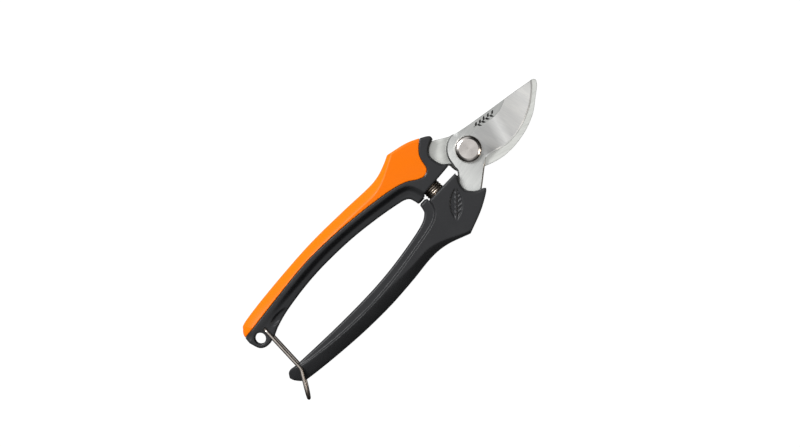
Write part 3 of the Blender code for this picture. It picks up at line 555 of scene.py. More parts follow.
def plate(name, edge, breaks, creases, bore, top, bottom, zone, pitch=1.5):
    """A plate over a plan outline, with the widths of its broken edges, the lines where its face turns,
    and a bore in it. top and bottom give heights, and zone gives finishes."""
    edge = anticlockwise(edge)
    loops = [edge, *(inset(edge, width) for width in breaks), bore]
    points = []
    edges = []
    for line, shut in [(loop, True) for loop in loops] + [(crease, False) for crease in creases]:
        first = len(points)
        points += [tuple(point) for point in line]
        edges += [(first + i, first + i + 1) for i in range(len(line) - 1)]
        if shut:
            edges.append((first + len(line) - 1, first))
    low, high = edge.min(0), edge.max(0)
    gx, gy = np.meshgrid(np.arange(low[0], high[0], pitch), np.arange(low[1], high[1], pitch))
    gx = gx.ravel() + 0.5 * pitch * (np.round((gy.ravel() - low[1]) / pitch) % 2)
    gy = gy.ravel()
    clear = depth_in(edge, gx, gy) > max(breaks) + CLEAR_OF_LINES
    clear &= depth_in(bore, gx, gy) < -CLEAR_OF_LINES
    for crease in creases:
        clear &= distance_to(crease, gx, gy) > CLEAR_OF_LINES
    points += list(zip(gx[clear], gy[clear]))
    flat, _, faces, *_ = delaunay_2d_cdt([Vector(point) for point in points], edges, [], 0, 1e-5)
    flat = np.array([tuple(point) for point in flat])
    faces = np.array([face for face in faces if len(face) == 3])
    a, b, c = (flat[faces[:, i]] for i in range(3))
    turn = (b[:, 0] - a[:, 0]) * (c[:, 1] - a[:, 1]) - (b[:, 1] - a[:, 1]) * (c[:, 0] - a[:, 0])
    faces = np.where((turn > 0)[:, None], faces, faces[:, ::-1])
    middle = (a + b + c) / 3
    kept = (depth_in(edge, *middle.T) > 0) & (depth_in(bore, *middle.T) < 0) & (np.abs(turn) > 1e-9)
    faces, middle = faces[kept], middle[kept]
    count = len(flat)
    rim = {}
    for face in faces:
        for one, two in zip(face, np.roll(face, -1)):
            if rim.pop((two, one), None) is None:
                rim[one, two] = True
    walls = [(one + count, two + count, two, one) for one, two in rim]
    solid = np.vstack([
        np.column_stack([flat, top(*flat.T)]), np.column_stack([flat, bottom(*flat.T)]),
    ])
    mesh = bpy.data.meshes.new(name)
    upper = [tuple(face) for face in faces]
    lower = [tuple(face[::-1] + count) for face in faces]
    mesh.from_pydata(solid * MM, [], upper + lower + walls)
    finish = np.zeros(len(mesh.polygons), np.int32)
    finish[:len(faces)] = zone(*middle.T)
    finish[2 * len(faces):] = finish.max()
    mesh.polygons.foreach_set("material_index", finish)
    mesh.shade_smooth()
    body = bmesh.new()
    body.from_mesh(mesh)
    loose = [vert for vert in body.verts if not vert.link_faces]
    bmesh.ops.delete(body, geom=loose, context="VERTS")
    for line in body.edges:
        sides = line.link_faces
        if len(sides) == 2:
            turned = sides[0].normal.angle(sides[1].normal, 0.0) > SHARP_TURN
            line.smooth = not (turned or sides[0].material_index != sides[1].material_index)
    body.to_mesh(mesh)
    body.free()
    return mesh


SPINE_BREAK, DISC_BREAK, BREAK_SEEN = 0.2, 0.8, 0.75
HONED_WIDTH = 0.75
EDGE_FOOT = 0.32
EDGE_LAND = 0.1
BLADE_CUTTING_EDGE = [
    (3.3, -10.0), (5.5, -10.2), (10.0, -11.4), (15.0, -12.9), (20.0, -13.3), (25.0, -12.95), (30.0, -11.9),
    (35.0, -10.2), (40.0, -7.9), (45.0, -4.5), (48.3, -1.7), (50.7, 1.05),
]
BLADE_SPINE = [(50.7, 1.05), (40.0, 3.2), (30.0, 5.0), (20.0, 6.8), (10.0, 8.7), (5.0, 9.8), (1.4, 10.6)]
BLADE_DISC = arc(11.9, range(95, 178, 10))
BLADE_ROOT = [(-12.4, -1.6)] + BLADE_PLATE_TANG + [(3.3, -10.0)]
GROUND_LINE = [
    (3.2, 4.9), (7.0, 4.3), (11.0, 3.7), (14.5, 3.2), (18.3, 2.5), (22.1, 1.8), (26.9, 2.1), (30.0, 3.0),
    (33.1, 4.5), (37.0, 7.5), (43.0, 11.5), (55.0, 18.0),
]
RUN_OUT_START, RUN_OUT_END, RUN_OUT_SOFTNESS = 4.6, 12.6, 1.6
BLADE_BORE = 5.4


def run_out(x):
    """0 at the heel, where the belt is lifted off the blade, to 1 where it cuts the whole way down."""
    start, end = (x - at + np.hypot(x - at, RUN_OUT_SOFTNESS) for at in (RUN_OUT_START, RUN_OUT_END))
    return (start - end) / 2 / (RUN_OUT_END - RUN_OUT_START)


def blade_face(x, y):
    """The height of the blade's front face: flat, ground down towards the edge, then honed."""
    from_edge = distance_to(EDGE_RUN, x, y)
    from_line = distance_to(GROUND_RUN, x, y)
    full, foot, land = BLADE_HIGH, BLADE_LOW + EDGE_FOOT, BLADE_LOW + EDGE_LAND
    past = np.maximum(from_edge - HONED_WIDTH, 0.0)
    ground = foot + (full - foot) * past / (past + from_line + 1e-6)
    honed = land + (foot - land) * from_edge / HONED_WIDTH
    cut = np.where(in_ground(x, y), np.where(from_edge < HONED_WIDTH, honed, ground), full)
    height = full - (full - cut) * run_out(x)
    return height - np.maximum(blade_break(x) - distance_to(BACK_RUN, x, y), 0.0)


def blade_break(x):
    """How wide the broken edge is: fine along the spine, and wide round the disc and the tang."""
    return SPINE_BREAK + (DISC_BREAK - SPINE_BREAK) * ease(-x, -2.5, 1.5)


def in_ground(x, y):
    """Whether each point is on the ground side of the ground line."""
    return depth_in(GROUND_PLAN, x, y) > -1e-4


def blade_zone(x, y):
    """0 on the flat land, 1 on the ground face, 2 on the honed edge and 3 on the broken edges."""
    zone = np.where(in_ground(x, y), np.where(distance_to(EDGE_RUN, x, y) < HONED_WIDTH, 2, 1), 0)
    return np.where(distance_to(BACK_RUN, x, y) < BREAK_SEEN * blade_break(x), 3, zone)


def blade_back(x, y):
    """The height of the blade's back face, with its broken edge."""
    return BLADE_LOW + np.maximum(SPINE_BREAK - distance_to(BACK_RUN, x, y), 0.0)


EDGE_RUN = flow(BLADE_CUTTING_EDGE, 6)
DISC_RUN = flow([BLADE_SPINE[-1]] + BLADE_DISC + BLADE_ROOT[:1], 3)
BLADE_EDGE_LOOP = np.vstack([
    EDGE_RUN[:-1], flow(BLADE_SPINE, 6)[:-1], DISC_RUN[:-1], flow(BLADE_ROOT, 4)[:-1],
])
BACK_RUN = np.vstack([BLADE_EDGE_LOOP[len(EDGE_RUN) - 1:], BLADE_EDGE_LOOP[:1]])
GROUND_RUN = flow(GROUND_LINE, 6)
GROUND_PLAN = np.vstack([EDGE_RUN, [(60.0, 5.0), (60.0, 20.0)], GROUND_RUN[::-1]])
HONED_RUN = inset(BLADE_EDGE_LOOP, HONED_WIDTH)[2:len(EDGE_RUN) - 3]


def reckon(tree, operation, *values):
    """The result of one sum on numbers or other nodes' outputs."""
    return node(tree, "ShaderNodeMath", dict(enumerate(values)), operation=operation).outputs["Value"]


def scaled_by(tree, vector, amount):
    """A vector or a colour times an amount."""
    made = node(tree, "ShaderNodeVectorMath", {0: vector, "Scale": amount}, operation="SCALE")
    return made.outputs["Vector"]


def ground_lines():
    """The fine lines that a grinding belt leaves, stretched one way, with slow changes of shine."""
    tree, given, result = group(
        "ground_lines", {"Vector": (0.0, 0.0, 0.0), "Stretch": (1.0, 1.0, 1.0)}, TEXTURE_OUTPUTS,
    )
    drawn_out = node(tree, "ShaderNodeVectorMath", {
        0: given.outputs["Vector"], 1: given.outputs["Stretch"],
    }, operation="MULTIPLY").outputs["Vector"]
    fine = node(tree, "ShaderNodeTexNoise", {"Vector": drawn_out, "Scale": 1.0, "Detail": 3.0})
    broad = scaled_by(tree, drawn_out, 0.09)
    slow = node(tree, "ShaderNodeTexNoise", {"Vector": broad, "Scale": 1.0, "Detail": 2.0})
    tree.links.new(fine.outputs["Fac"], result.inputs["Height"])
    mixed = reckon(tree, "ADD", fine.outputs["Fac"], slow.outputs["Fac"])
    tree.links.new(reckon(tree, "MULTIPLY", mixed, 0.5), result.inputs["Shine"])
    return tree


def steel(name, dark, light, roughness, stretch, relief, angle=0.0, shade=None):
    """A steel finish: two tones, the range of its roughness, and how its lines run."""
    material, tree, shader, place = blank_material(name)
    shader.inputs["Metallic"].default_value = 1.0
    turned = node(tree, "ShaderNodeMapping", {"Vector": place, "Rotation": (0.0, 0.0, math.radians(angle))})
    lines = node(tree, "ShaderNodeGroup", {"Stretch": stretch}, node_tree=GROUND_LINES)
    tree.links.new(turned.outputs["Vector"], lines.inputs["Vector"])
    colour = two_toned(tree, ranged(tree, lines.outputs["Shine"], 0.35, 0.65, 0.0, 1.0), dark, light)
    if shade:
        colour = shade(tree, place, colour)
    tree.links.new(colour, shader.inputs["Base Color"])
    textured(tree, shader, lines, roughness, relief, 0.00003)
    return material


# The tones of the painted highlight and shade across the ground face.
HIGHLIGHT_BAND_STOPS = [(0.0, 0.62), (0.14, 0.60), (0.29, 0.64), (0.385, 1.0), (0.46, 0.80), (0.58, 0.84), (0.74, 1.0)]


def painted_highlight_band(tree, place, colour):
    """A painted highlight across the ground face: a bright band, painted shade on either side of it, and a
    lighter point.
    """
    split = node(tree, "ShaderNodeSeparateXYZ", {"Vector": place})
    at = reckon(tree, "ADD", split.outputs["X"], reckon(tree, "MULTIPLY", split.outputs["Y"], -0.30))
    ramp = node(tree, "ShaderNodeValToRGB", {"Fac": ranged(tree, at, 0.0, 0.055, 0.0, 1.0)})
    elements = ramp.color_ramp.elements
    elements[0].position, elements[1].position = HIGHLIGHT_BAND_STOPS[0][0], HIGHLIGHT_BAND_STOPS[-1][0]
    for position, _ in HIGHLIGHT_BAND_STOPS[1:-1]:
        elements.new(position)
    for element, (_, value) in zip(elements, HIGHLIGHT_BAND_STOPS):
        element.color = (value, value, value, 1.0)
    mixed = node(tree, "ShaderNodeMix", {
        "Factor": 1.0, 6: colour, 7: ramp.outputs["Color"],
    }, data_type="RGBA", blend_type="MULTIPLY")
    return mixed.outputs[2]


def toned_along(start, end, near, far):
    """A painted shade that goes from near to far between two places along the blade."""
    def shade(tree, place, colour):
        split = node(tree, "ShaderNodeSeparateXYZ", {"Vector": place})
        return scaled_by(tree, colour, ranged(tree, split.outputs["X"], start, end, near, far))
    return shade


GROUND_LINES = ground_lines()
# Painted shade: the land darkens from the tang to the spine, and the honed edge darkens towards the tip.
LAND_PAINTED_SHADE = toned_along(-0.013, 0.006, 0.95, 0.59)
HONED_EDGE_PAINTED_SHADE = toned_along(0.029, 0.038, 1.0, 0.58)
BLADE_LAND = steel(
    "blade_land", (0.58, 0.59, 0.58), (0.65, 0.66, 0.645), (0.40, 0.50), (150.0, 2600.0, 900.0), 0.25,
    angle=-8.0, shade=LAND_PAINTED_SHADE,
)
BLADE_GROUND = steel(
    "blade_ground", (0.84, 0.85, 0.85), (0.94, 0.95, 0.94), (0.32, 0.42), (2200.0, 90.0, 900.0), 0.30,
    angle=-12.0, shade=painted_highlight_band,
)
BLADE_HONED = steel(
    "blade_honed", (0.82, 0.83, 0.82), (0.95, 0.95, 0.94), (0.24, 0.34), (3000.0, 300.0, 900.0), 0.15,
    shade=HONED_EDGE_PAINTED_SHADE,
)
# The broken edges of the blade and the hook take a darker tone of the steel, as painted shade along the
# bevels.
BROKEN_EDGES_PAINTED_SHADE = steel(
    "blade_broken", (0.40, 0.41, 0.40), (0.50, 0.51, 0.50), (0.40, 0.52), (900.0, 900.0, 900.0), 0.2,
)
blade_mesh = plate(
    "blade", BLADE_EDGE_LOOP, (SPINE_BREAK, DISC_BREAK), [GROUND_RUN, HONED_RUN], ring(BLADE_BORE),
    blade_face, blade_back, blade_zone,
)
place_piece(
    "blade", blade_mesh, "blade_side", "blade_steel", ["cutting_blade"],
    BLADE_LAND, BLADE_GROUND, BLADE_HONED, BROKEN_EDGES_PAINTED_SHADE,
)

# The mark etched in the land is a plain sprig of leaves.
SPRIG_STEM = [(10.6, 6.0), (14.5, 5.1), (18.5, 4.6), (22.6, 3.7)]
SPRIG_LEAF_LENGTH, SPRIG_LEAF_WIDTH, SPRIG_LEAF_LEAN = 2.5, 1.05, 42.0
SPRIG_STEM_HALF, SPRIG_RAISED, SPRIG_SUNK = 0.13, 0.02, 0.05
FIRST_LEAF, LEAF_EVERY = 3, 4


def sprig():
    """A stem with leaves that stand off one side and then the other, as thin flat shapes on the land."""
    stem = flow(SPRIG_STEM, 12)
    side = np.array([0.15, 1.0]) * SPRIG_STEM_HALF
    shapes = [np.vstack([stem + side, stem[::-1] - side])]
    for i in range(FIRST_LEAF, len(stem) - 1, LEAF_EVERY):
        lean = SPRIG_LEAF_LEAN if i % (2 * LEAF_EVERY) == FIRST_LEAF else -SPRIG_LEAF_LEAN
        ahead = stem[i + 1] - stem[i]
        turn = math.atan2(ahead[1], ahead[0]) + math.radians(lean)
        t = np.linspace(0.0, 1.0, 9)
        along, bulge = SPRIG_LEAF_LENGTH * t, SPRIG_LEAF_WIDTH / 2 * np.sin(math.pi * t ** 0.8)
        leaf_points = np.vstack([np.stack([along, bulge], 1), np.stack([along, -bulge], 1)[::-1][1:-1]])
        turned = np.array([[math.cos(turn), -math.sin(turn)], [math.sin(turn), math.cos(turn)]])
        shapes.append(stem[i] + leaf_points @ turned.T)
    body = bmesh.new()
    for shape in shapes:
        shape = anticlockwise(shape)
        above = [body.verts.new((x * MM, y * MM, (BLADE_HIGH + SPRIG_RAISED) * MM)) for x, y in shape]
        below = [body.verts.new((x * MM, y * MM, (BLADE_HIGH - SPRIG_SUNK) * MM)) for x, y in shape]
        body.faces.new(above)
        body.faces.new(below[::-1])
        for i in range(len(above)):
            j = (i + 1) % len(above)
            body.faces.new((below[i], below[j], above[j], above[i]))
    mesh = bpy.data.meshes.new("etched_sprig")
    body.to_mesh(mesh)
    body.free()
    return mesh


ETCHING = steel(
    "etching", (0.012, 0.012, 0.012), (0.03, 0.03, 0.03), (0.55, 0.7), (2500.0, 2500.0, 900.0), 0.3,
)
place_piece("etched_sprig", sprig(), "blade_side", "blade_steel", [], ETCHING)


# ---- Hook: the blunt counter blade that the branch rests in, of the same steel ----
# A 3.5 mm plate, flat on both sides, behind the blade. It shows past the blade's edge and at its tang.
HOOK_TOP = [(-4.6, 13.7), (-2.6, 12.4), (0.0, 11.2), (1.4, 10.5)]
HOOK_INSIDE = [
    (1.4, 10.5), (6.6, 7.8), (9.6, 2.6), (9.8, -3.0), (12.2, -7.4), (17.5, -9.9), (25.0, -10.2),
    (34.0, -8.0), (42.5, -4.0), (50.4, 1.25),
]
HOOK_OUTSIDE = [
    (50.4, 1.25), (51.7, 0.7), (52.45, -0.5), (51.7, -2.1), (50.0, -3.8), (45.0, -7.4), (40.0, -11.0),
    (35.0, -13.5), (30.0, -15.2), (25.0, -16.3), (20.0, -16.9), (15.0, -16.9), (10.0, -16.4), (5.0, -15.0),
    (0.0, -13.0),
]
HOOK_DISC = arc(13.2, range(255, 174, -10))
HOOK_BORE, HOOK_BORE_FLAT = 4.1, 3.2
HOOK_DISC_RUN = flow([HOOK_OUTSIDE[-1]] + HOOK_DISC + HOOK_PLATE_TANG[:1], 3)
HOOK_EDGE_LOOP = anticlockwise(np.vstack([
    flow(HOOK_INSIDE, 5)[:-1], flow(HOOK_OUTSIDE, 5)[:-1], HOOK_DISC_RUN[:-1],
    flow(HOOK_PLATE_TANG + HOOK_TOP, 4)[:-1],
]))


def hook_break(x, y):
    """How wide the broken edge is: fine along the hook, and wide on the disc between the handles."""
    return HOOK_BREAK + (HOOK_DISC_BREAK - HOOK_BREAK) * ease(-x, 8.5, 11.0) * ease(-y, -2.6, -0.6)


def hook_face(x, y):
    """The height of the hook's front face, with its broken edge."""
    return HOOK_HIGH - np.maximum(hook_break(x, y) - distance_to(HOOK_EDGE_LOOP, x, y, closed=True), 0.0)


def hook_back(x, y):
    """The height of the hook's back face, with its broken edge."""
    return HOOK_LOW + np.maximum(HOOK_BREAK - distance_to(HOOK_EDGE_LOOP, x, y, closed=True), 0.0)


def hook_zone(x, y):
    """0 on the flat and 1 on the broken edges."""
    return np.where(distance_to(HOOK_EDGE_LOOP, x, y, closed=True) < BREAK_SEEN * hook_break(x, y), 1, 0)


def painted_disc_shade(tree, place, colour):
    """Painted shade on the hook close round the pivot, by the edge of the blade's disc, mostly on the tang
    side.
    """
    split = node(tree, "ShaderNodeSeparateXYZ", {"Vector": place})
    tang_side = ranged(tree, split.outputs["Y"], -0.003, 0.004, 1.0, 0.58)
    flat = node(tree, "ShaderNodeVectorMath", {0: place, 1: (1.0, 1.0, 0.0)}, operation="MULTIPLY")
    away = node(tree, "ShaderNodeVectorMath", {0: flat.outputs["Vector"]}, operation="LENGTH")
    tone = ranged(
        tree, away.outputs["Value"], 0.0118, 0.0165, tang_side, 1.0, interpolation_type="SMOOTHSTEP",
    )
    return scaled_by(tree, colour, tone)


HOOK_BREAK, HOOK_DISC_BREAK = 0.15, 1.2
HOOK_STEEL = steel(
    "hook_steel", (0.68, 0.69, 0.66), (0.75, 0.76, 0.73), (0.30, 0.40), (160.0, 2400.0, 900.0), 0.22,
    angle=20.0, shade=painted_disc_shade,
)
hook_mesh = plate(
    "hook", HOOK_EDGE_LOOP, (HOOK_BREAK, HOOK_DISC_BREAK), [], ring(HOOK_BORE, 48, HOOK_BORE_FLAT),
    hook_face, hook_back, hook_zone,
)
place_piece(
    "hook", hook_mesh, "hook_side", "blade_steel", ["counter_blade"], HOOK_STEEL, BROKEN_EDGES_PAINTED_SHADE,
)


# ---- Pivot: a bolt with a round polished head, a locking nut behind, and the washer and bush between ----
# The head's face is spun bright with a centre mark. Flats on its neck hold it in the hook, and the nut's
# nylon ring stops it working loose.
def cleaned(mesh, sharp):
    """Joins a mesh's doubled points, turns its faces outwards, and shades it smooth up to an angle."""
    body = bmesh.new()
    body.from_mesh(mesh)
    bmesh.ops.remove_doubles(body, verts=body.verts, dist=0.002 * MM)
    bmesh.ops.recalc_face_normals(body, faces=body.faces)
    body.to_mesh(mesh)
    body.free()
    mesh.shade_smooth()
    mesh.set_sharp_from_angle(angle=math.radians(sharp))
    return mesh


def lathe(name, profile, steps=96, shape=None):
    """A closed body turned round the pivot, from (radius, height) points that run down its outer side."""
    angles = np.arange(steps) * 2 * math.pi / steps
    rings = []
    for radius, height in profile:
        across = np.full(steps, radius) if shape is None else shape(radius, height, angles)
        level = np.full(steps, height)
        rings.append(np.column_stack([across * np.cos(angles), across * np.sin(angles), level]))
    points = np.vstack(rings) * MM
    faces = []
    for i in range(len(rings) - 1):
        for j in range(steps):
            k = (j + 1) % steps
            faces.append((i * steps + j, (i + 1) * steps + j, (i + 1) * steps + k, i * steps + k))
    hollow = profile[0] == profile[-1]
    if not hollow:
        faces.append(tuple(range(steps)))
        faces.append(tuple(range(len(points) - 1, len(points) - 1 - steps, -1)))
    mesh = bpy.data.meshes.new(name)
    mesh.from_pydata(points, [], faces)
    return cleaned(mesh, 32)


def neck(radius, height, angles):
    """Flats on the bolt below the blade, that hold it in the hook."""
    if height > HOOK_HIGH or radius <= THREAD_RADIUS:
        return np.full(len(angles), radius)
    return np.minimum(radius, NECK_FLAT / np.maximum(np.abs(np.sin(angles)), 1e-6))


def hexagon(radius, height, angles):
    """A nut's six sides, cut back by the cone at each end."""
    if radius < NUT_HALF:
        return np.full(len(angles), radius)
    off = (angles + math.pi / 6) % (math.pi / 3) - math.pi / 6
    return np.minimum(radius, NUT_HALF / np.cos(off))


HEAD_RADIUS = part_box("pivot_bolt")[1].x / MM
HEAD_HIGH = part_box("pivot_bolt")[1].z / MM
FACE_RADIUS, HEAD_LOW = 5.25, BLADE_HIGH + 0.3
NECK_RADIUS, NECK_FLAT = 4.0, 3.1
THREAD_RADIUS, THREAD_ROOT, THREAD_PITCH = 3.0, 2.78, 0.5
head_edge = flow([
    (FACE_RADIUS, HEAD_HIGH), (FACE_RADIUS + 0.15, HEAD_HIGH - 0.05), (6.0, HEAD_HIGH - 0.31),
    (6.6, HEAD_HIGH - 0.64), (7.1, HEAD_HIGH - 1.2), (HEAD_RADIUS, HEAD_HIGH - 2.0),
    (HEAD_RADIUS, HEAD_LOW + 0.2),
], 4)
bolt_profile = [
    (0.02, HEAD_HIGH - 0.035), (0.3, HEAD_HIGH - 0.03), (0.5, HEAD_HIGH - 0.012), (0.65, HEAD_HIGH),
    (2.5, HEAD_HIGH), (4.0, HEAD_HIGH), (FACE_RADIUS - 0.1, HEAD_HIGH), *head_edge,
    (HEAD_RADIUS - 0.2, HEAD_LOW), (NECK_RADIUS, HEAD_LOW), (NECK_RADIUS, HOOK_HIGH + 0.02),
    (NECK_RADIUS, HOOK_HIGH - 0.02), (NECK_RADIUS, HOOK_LOW), (THREAD_RADIUS, HOOK_LOW),
]
thread_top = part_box("pivot_washer")[0].z / MM
for turn in range(7):
    height = thread_top - turn * THREAD_PITCH
    bolt_profile += [(THREAD_RADIUS, height), (THREAD_ROOT, height - THREAD_PITCH / 2)]
bolt_profile += [(THREAD_RADIUS, 0.35), (2.7, 0.02)]
bolt_profile = [(min(radius, HEAD_RADIUS), max(height, 0.0)) for radius, height in bolt_profile]


def painted_spun_reflection(tree, place, colour):
    """Faint wedges of painted reflection round a face that was spun against a wheel."""
    split = node(tree, "ShaderNodeSeparateXYZ", {"Vector": place})
    angle = reckon(tree, "ARCTAN2", split.outputs["Y"], split.outputs["X"])
    swing = reckon(tree, "SINE", reckon(tree, "ADD", reckon(tree, "MULTIPLY", angle, 2.0), 0.9))
    return scaled_by(tree, colour, ranged(tree, swing, -1.0, 1.0, 0.93, 1.05))


BOLT_STEEL = steel(
    "bolt_steel", (0.62, 0.585, 0.56), (0.69, 0.655, 0.63), (0.26, 0.34), (2600.0, 2600.0, 900.0), 0.12,
    shade=painted_spun_reflection,
)
BOLT_RIM = steel(
    "bolt_rim", (0.60, 0.565, 0.54), (0.67, 0.635, 0.61), (0.17, 0.21), (900.0, 900.0, 900.0), 0.03,
)
bolt_mesh = lathe("bolt", bolt_profile, shape=neck)
for face in bolt_mesh.polygons:
    out = math.hypot(face.center.x, face.center.y)
    if face.center.z > HEAD_LOW * MM and out > (FACE_RADIUS + 0.02) * MM:
        face.material_index = 1
place_piece("bolt", bolt_mesh, "hook_side", "bolt_steel", ["pivot_bolt"], BOLT_STEEL, BOLT_RIM)

NUT_HALF = (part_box("pivot_nut")[1].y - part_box("pivot_nut")[0].y) / 2 / MM
NUT_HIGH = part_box("pivot_nut")[1].z / MM
NUT_CORNER = NUT_HALF / math.cos(math.pi / 6)
nut_profile = [
    (3.2, NUT_HIGH), (NUT_HALF - 0.1, NUT_HIGH), (NUT_CORNER - 0.35, NUT_HIGH - 0.1),
    (NUT_CORNER, NUT_HIGH - 0.55), (NUT_CORNER, 0.75), (NUT_CORNER - 0.4, 0.2), (NUT_HALF - 0.4, 0.0),
    (4.4, 0.0), (4.35, 0.3), (4.35, 1.75), (3.2, 1.75), (3.2, NUT_HIGH),
]
ZINC_PLATE = steel(
    "zinc_plate", (0.55, 0.55, 0.54), (0.70, 0.70, 0.69), (0.32, 0.45), (500.0, 500.0, 500.0), 0.2,
)
nut_mesh = lathe("nut", nut_profile, 120, hexagon)
place_piece("nut", nut_mesh, "hook_side", "bolt_steel", ["pivot_nut"], ZINC_PLATE)


def finish_node(name, material):
    """Gives a CAD node that stays in view its own finish."""
    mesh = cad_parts[name].data
    mesh.materials.clear()
    mesh.materials.append(material)


BRONZE = steel(
    "bush_bronze", (0.42, 0.27, 0.11), (0.52, 0.36, 0.17), (0.35, 0.5), (800.0, 800.0, 300.0), 0.3,
)
LOCKING_NYLON = moulding(
    "locking_nylon", (0.50, 0.56, 0.60), (0.45, 0.52, 0.57), (0.42, 0.5), 0.2, specular=0.4,
)
finish_node("pivot_washer", ZINC_PLATE)
finish_node("pivot_bush", BRONZE)
finish_node("nut_lock_ring", LOCKING_NYLON)


# ---- Tang pins: four steel pins, pressed through the handles and the plates' tangs ----
# The hook handle's are under the grip. The blade handle's are driven in from the back, a little below it.
PIN_STEEL = steel(
    "pin_steel", (0.40, 0.40, 0.39), (0.55, 0.55, 0.54), (0.35, 0.5), (1500.0, 1500.0, 200.0), 0.25,
)
for pin_name in ("hook_pin_front", "hook_pin_rear", "blade_pin_front", "blade_pin_rear"):
    finish_node(pin_name, PIN_STEEL)


# ---- Stop buffers: a rubber plug in the end of each handle's band, which meet as the shears shut ----
# Black rubber, pushed into a seat in the band, that softens the knock when the handles close.
BUFFER_RUBBER = moulding(
    "buffer_rubber", (0.010, 0.010, 0.011), (0.016, 0.016, 0.017), (0.55, 0.7), 0.4, specular=0.2,
)
finish_node("hook_stop_buffer", BUFFER_RUBBER)
finish_node("blade_stop_buffer", BUFFER_RUBBER)


# ---- Return spring: hard-drawn wire wound shut, on a steel cup in a pocket in each head ----
# At rest the latch holds it pressed with its turns together. The real spring spreads as the handles open;
# this one rides on no body and keeps its shape at rest.
def wire_tree(name, inputs):
    """An empty node tree for a wire, with its named inputs, and its two end nodes."""
    geometry = {"Geometry": "NodeSocketGeometry"}
    return group(name, {**geometry, **inputs, "Material": "NodeSocketMaterial"}, geometry, "GeometryNodeTree")


def round_wire(tree, given, path, result):
    """Gives a path the wire's round section, then its finish."""
    section = node(tree, "GeometryNodeCurvePrimitiveCircle", {
        "Resolution": 16, "Radius": given.outputs["Wire Radius"],
    })
    drawn = node(tree, "GeometryNodeCurveToMesh", {
        "Curve": path, "Profile Curve": section.outputs["Curve"], "Fill Caps": True,
    })
    real = node(tree, "GeometryNodeRealizeInstances", {"Geometry": drawn.outputs["Mesh"]})
    finished = node(tree, "GeometryNodeSetMaterial", {
        "Geometry": real.outputs["Geometry"], "Material": given.outputs["Material"],
    })
    tree.links.new(finished.outputs["Geometry"], result.inputs["Geometry"])


def coiled_wire():
    """Wire wound round an axis along Y."""
    tree, given, result = wire_tree("coiled_wire", {
        "Wire Radius": 0.0007, "Coil Radius": 0.0045, "Turns": 9.0, "Length": 0.012, "Start": (0.0, 0.0, 0.0),
    })
    spiral = node(tree, "GeometryNodeCurveSpiral", {
        "Resolution": 40, "Rotations": given.outputs["Turns"], "Start Radius": given.outputs["Coil Radius"],
        "End Radius": given.outputs["Coil Radius"], "Height": given.outputs["Length"],
    })
    laid = node(tree, "GeometryNodeTransform", {
        "Geometry": spiral.outputs["Curve"], "Translation": given.outputs["Start"],
        "Rotation": (math.radians(-90.0), 0.0, 0.0),
    })
    round_wire(tree, given, laid.outputs["Geometry"], result)
    return tree


def bent_wire():
    """Wire along a line of points."""
    tree, given, result = wire_tree("bent_wire", {"Wire Radius": 0.001})
    path = node(tree, "GeometryNodeMeshToCurve", {"Mesh": given.outputs["Geometry"]})
    round_wire(tree, given, path.outputs["Curve"], result)
    return tree


def drawn(name, mesh, tree, values):
    """The mesh that a node tree makes of mesh, with these values for its named inputs."""
    maker = bpy.data.objects.new(name, mesh)
    bpy.context.scene.collection.objects.link(maker)
    modifier = maker.modifiers.new("wire", "NODES")
    modifier.node_group = tree
    for item in tree.interface.items_tree:
        if item.in_out == "INPUT" and item.name in values:
            modifier[item.identifier] = values[item.name]
    made = bpy.data.meshes.new_from_object(maker.evaluated_get(bpy.context.evaluated_depsgraph_get()))
    bpy.data.objects.remove(maker, do_unlink=True)
    made.name = name
    made.materials.clear()
    return cleaned(made, 40)


SPRING_WIRE = steel(
    "spring_wire", (0.38, 0.33, 0.28), (0.46, 0.40, 0.34), (0.30, 0.38), (500.0, 500.0, 500.0), 0.05,
)
WIRE_RADIUS = 0.7
COIL_RADIUS = (SPRING_HIGH.x - SPRING_LOW.x) / 2 / MM - WIRE_RADIUS - 0.02
SPRING_START = Vector((SPRING_X * MM, SPRING_LOW.y + WIRE_RADIUS * MM, MID_Z * MM))
SPRING_LENGTH = SPRING_HIGH.y - SPRING_LOW.y - 2 * WIRE_RADIUS * MM
spring = place_piece(
    "spring",
    drawn("spring", bpy.data.meshes.new("spring_seed"), coiled_wire(), {
        "Wire Radius": WIRE_RADIUS * MM, "Coil Radius": COIL_RADIUS * MM, "Turns": 8.6,
        "Length": SPRING_LENGTH, "Start": SPRING_START, "Material": SPRING_WIRE,
    }),
    None, "spring_wire", ["return_spring"], SPRING_WIRE,
)
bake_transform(spring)
CUP_STEEL = steel(
    "cup_steel", (0.30, 0.29, 0.28), (0.42, 0.41, 0.40), (0.35, 0.5), (700.0, 700.0, 700.0), 0.2,
)
finish_node("hook_spring_cup", CUP_STEEL)
finish_node("blade_spring_cup", CUP_STEEL)


# ---- Wire latch: a loop of spring wire that swings on the hook handle's tail ----
# Its ends are turned into a hole in the tail, and it goes over the other tail to hold the shears shut.
def rounded_path(corners, steps=12):
    """Points along straight runs between corners of (point, radius), each corner rounded."""
    points = [Vector(corners[0][0])]
    for before, (corner, radius), after in zip(corners, corners[1:], corners[2:]):
        corner = Vector(corner)
        back = (Vector(before[0]) - corner).normalized()
        ahead = (Vector(after[0]) - corner).normalized()
        half_angle = back.angle(ahead) / 2
        reach = radius / math.tan(half_angle)
        centre = corner + (back + ahead).normalized() * radius / math.sin(half_angle)
        start = corner + back * reach - centre
        finish = corner + ahead * reach - centre
        points += [centre + start.slerp(finish, i / steps) * radius for i in range(steps + 1)]
    points.append(Vector(corners[-1][0]))
    return points


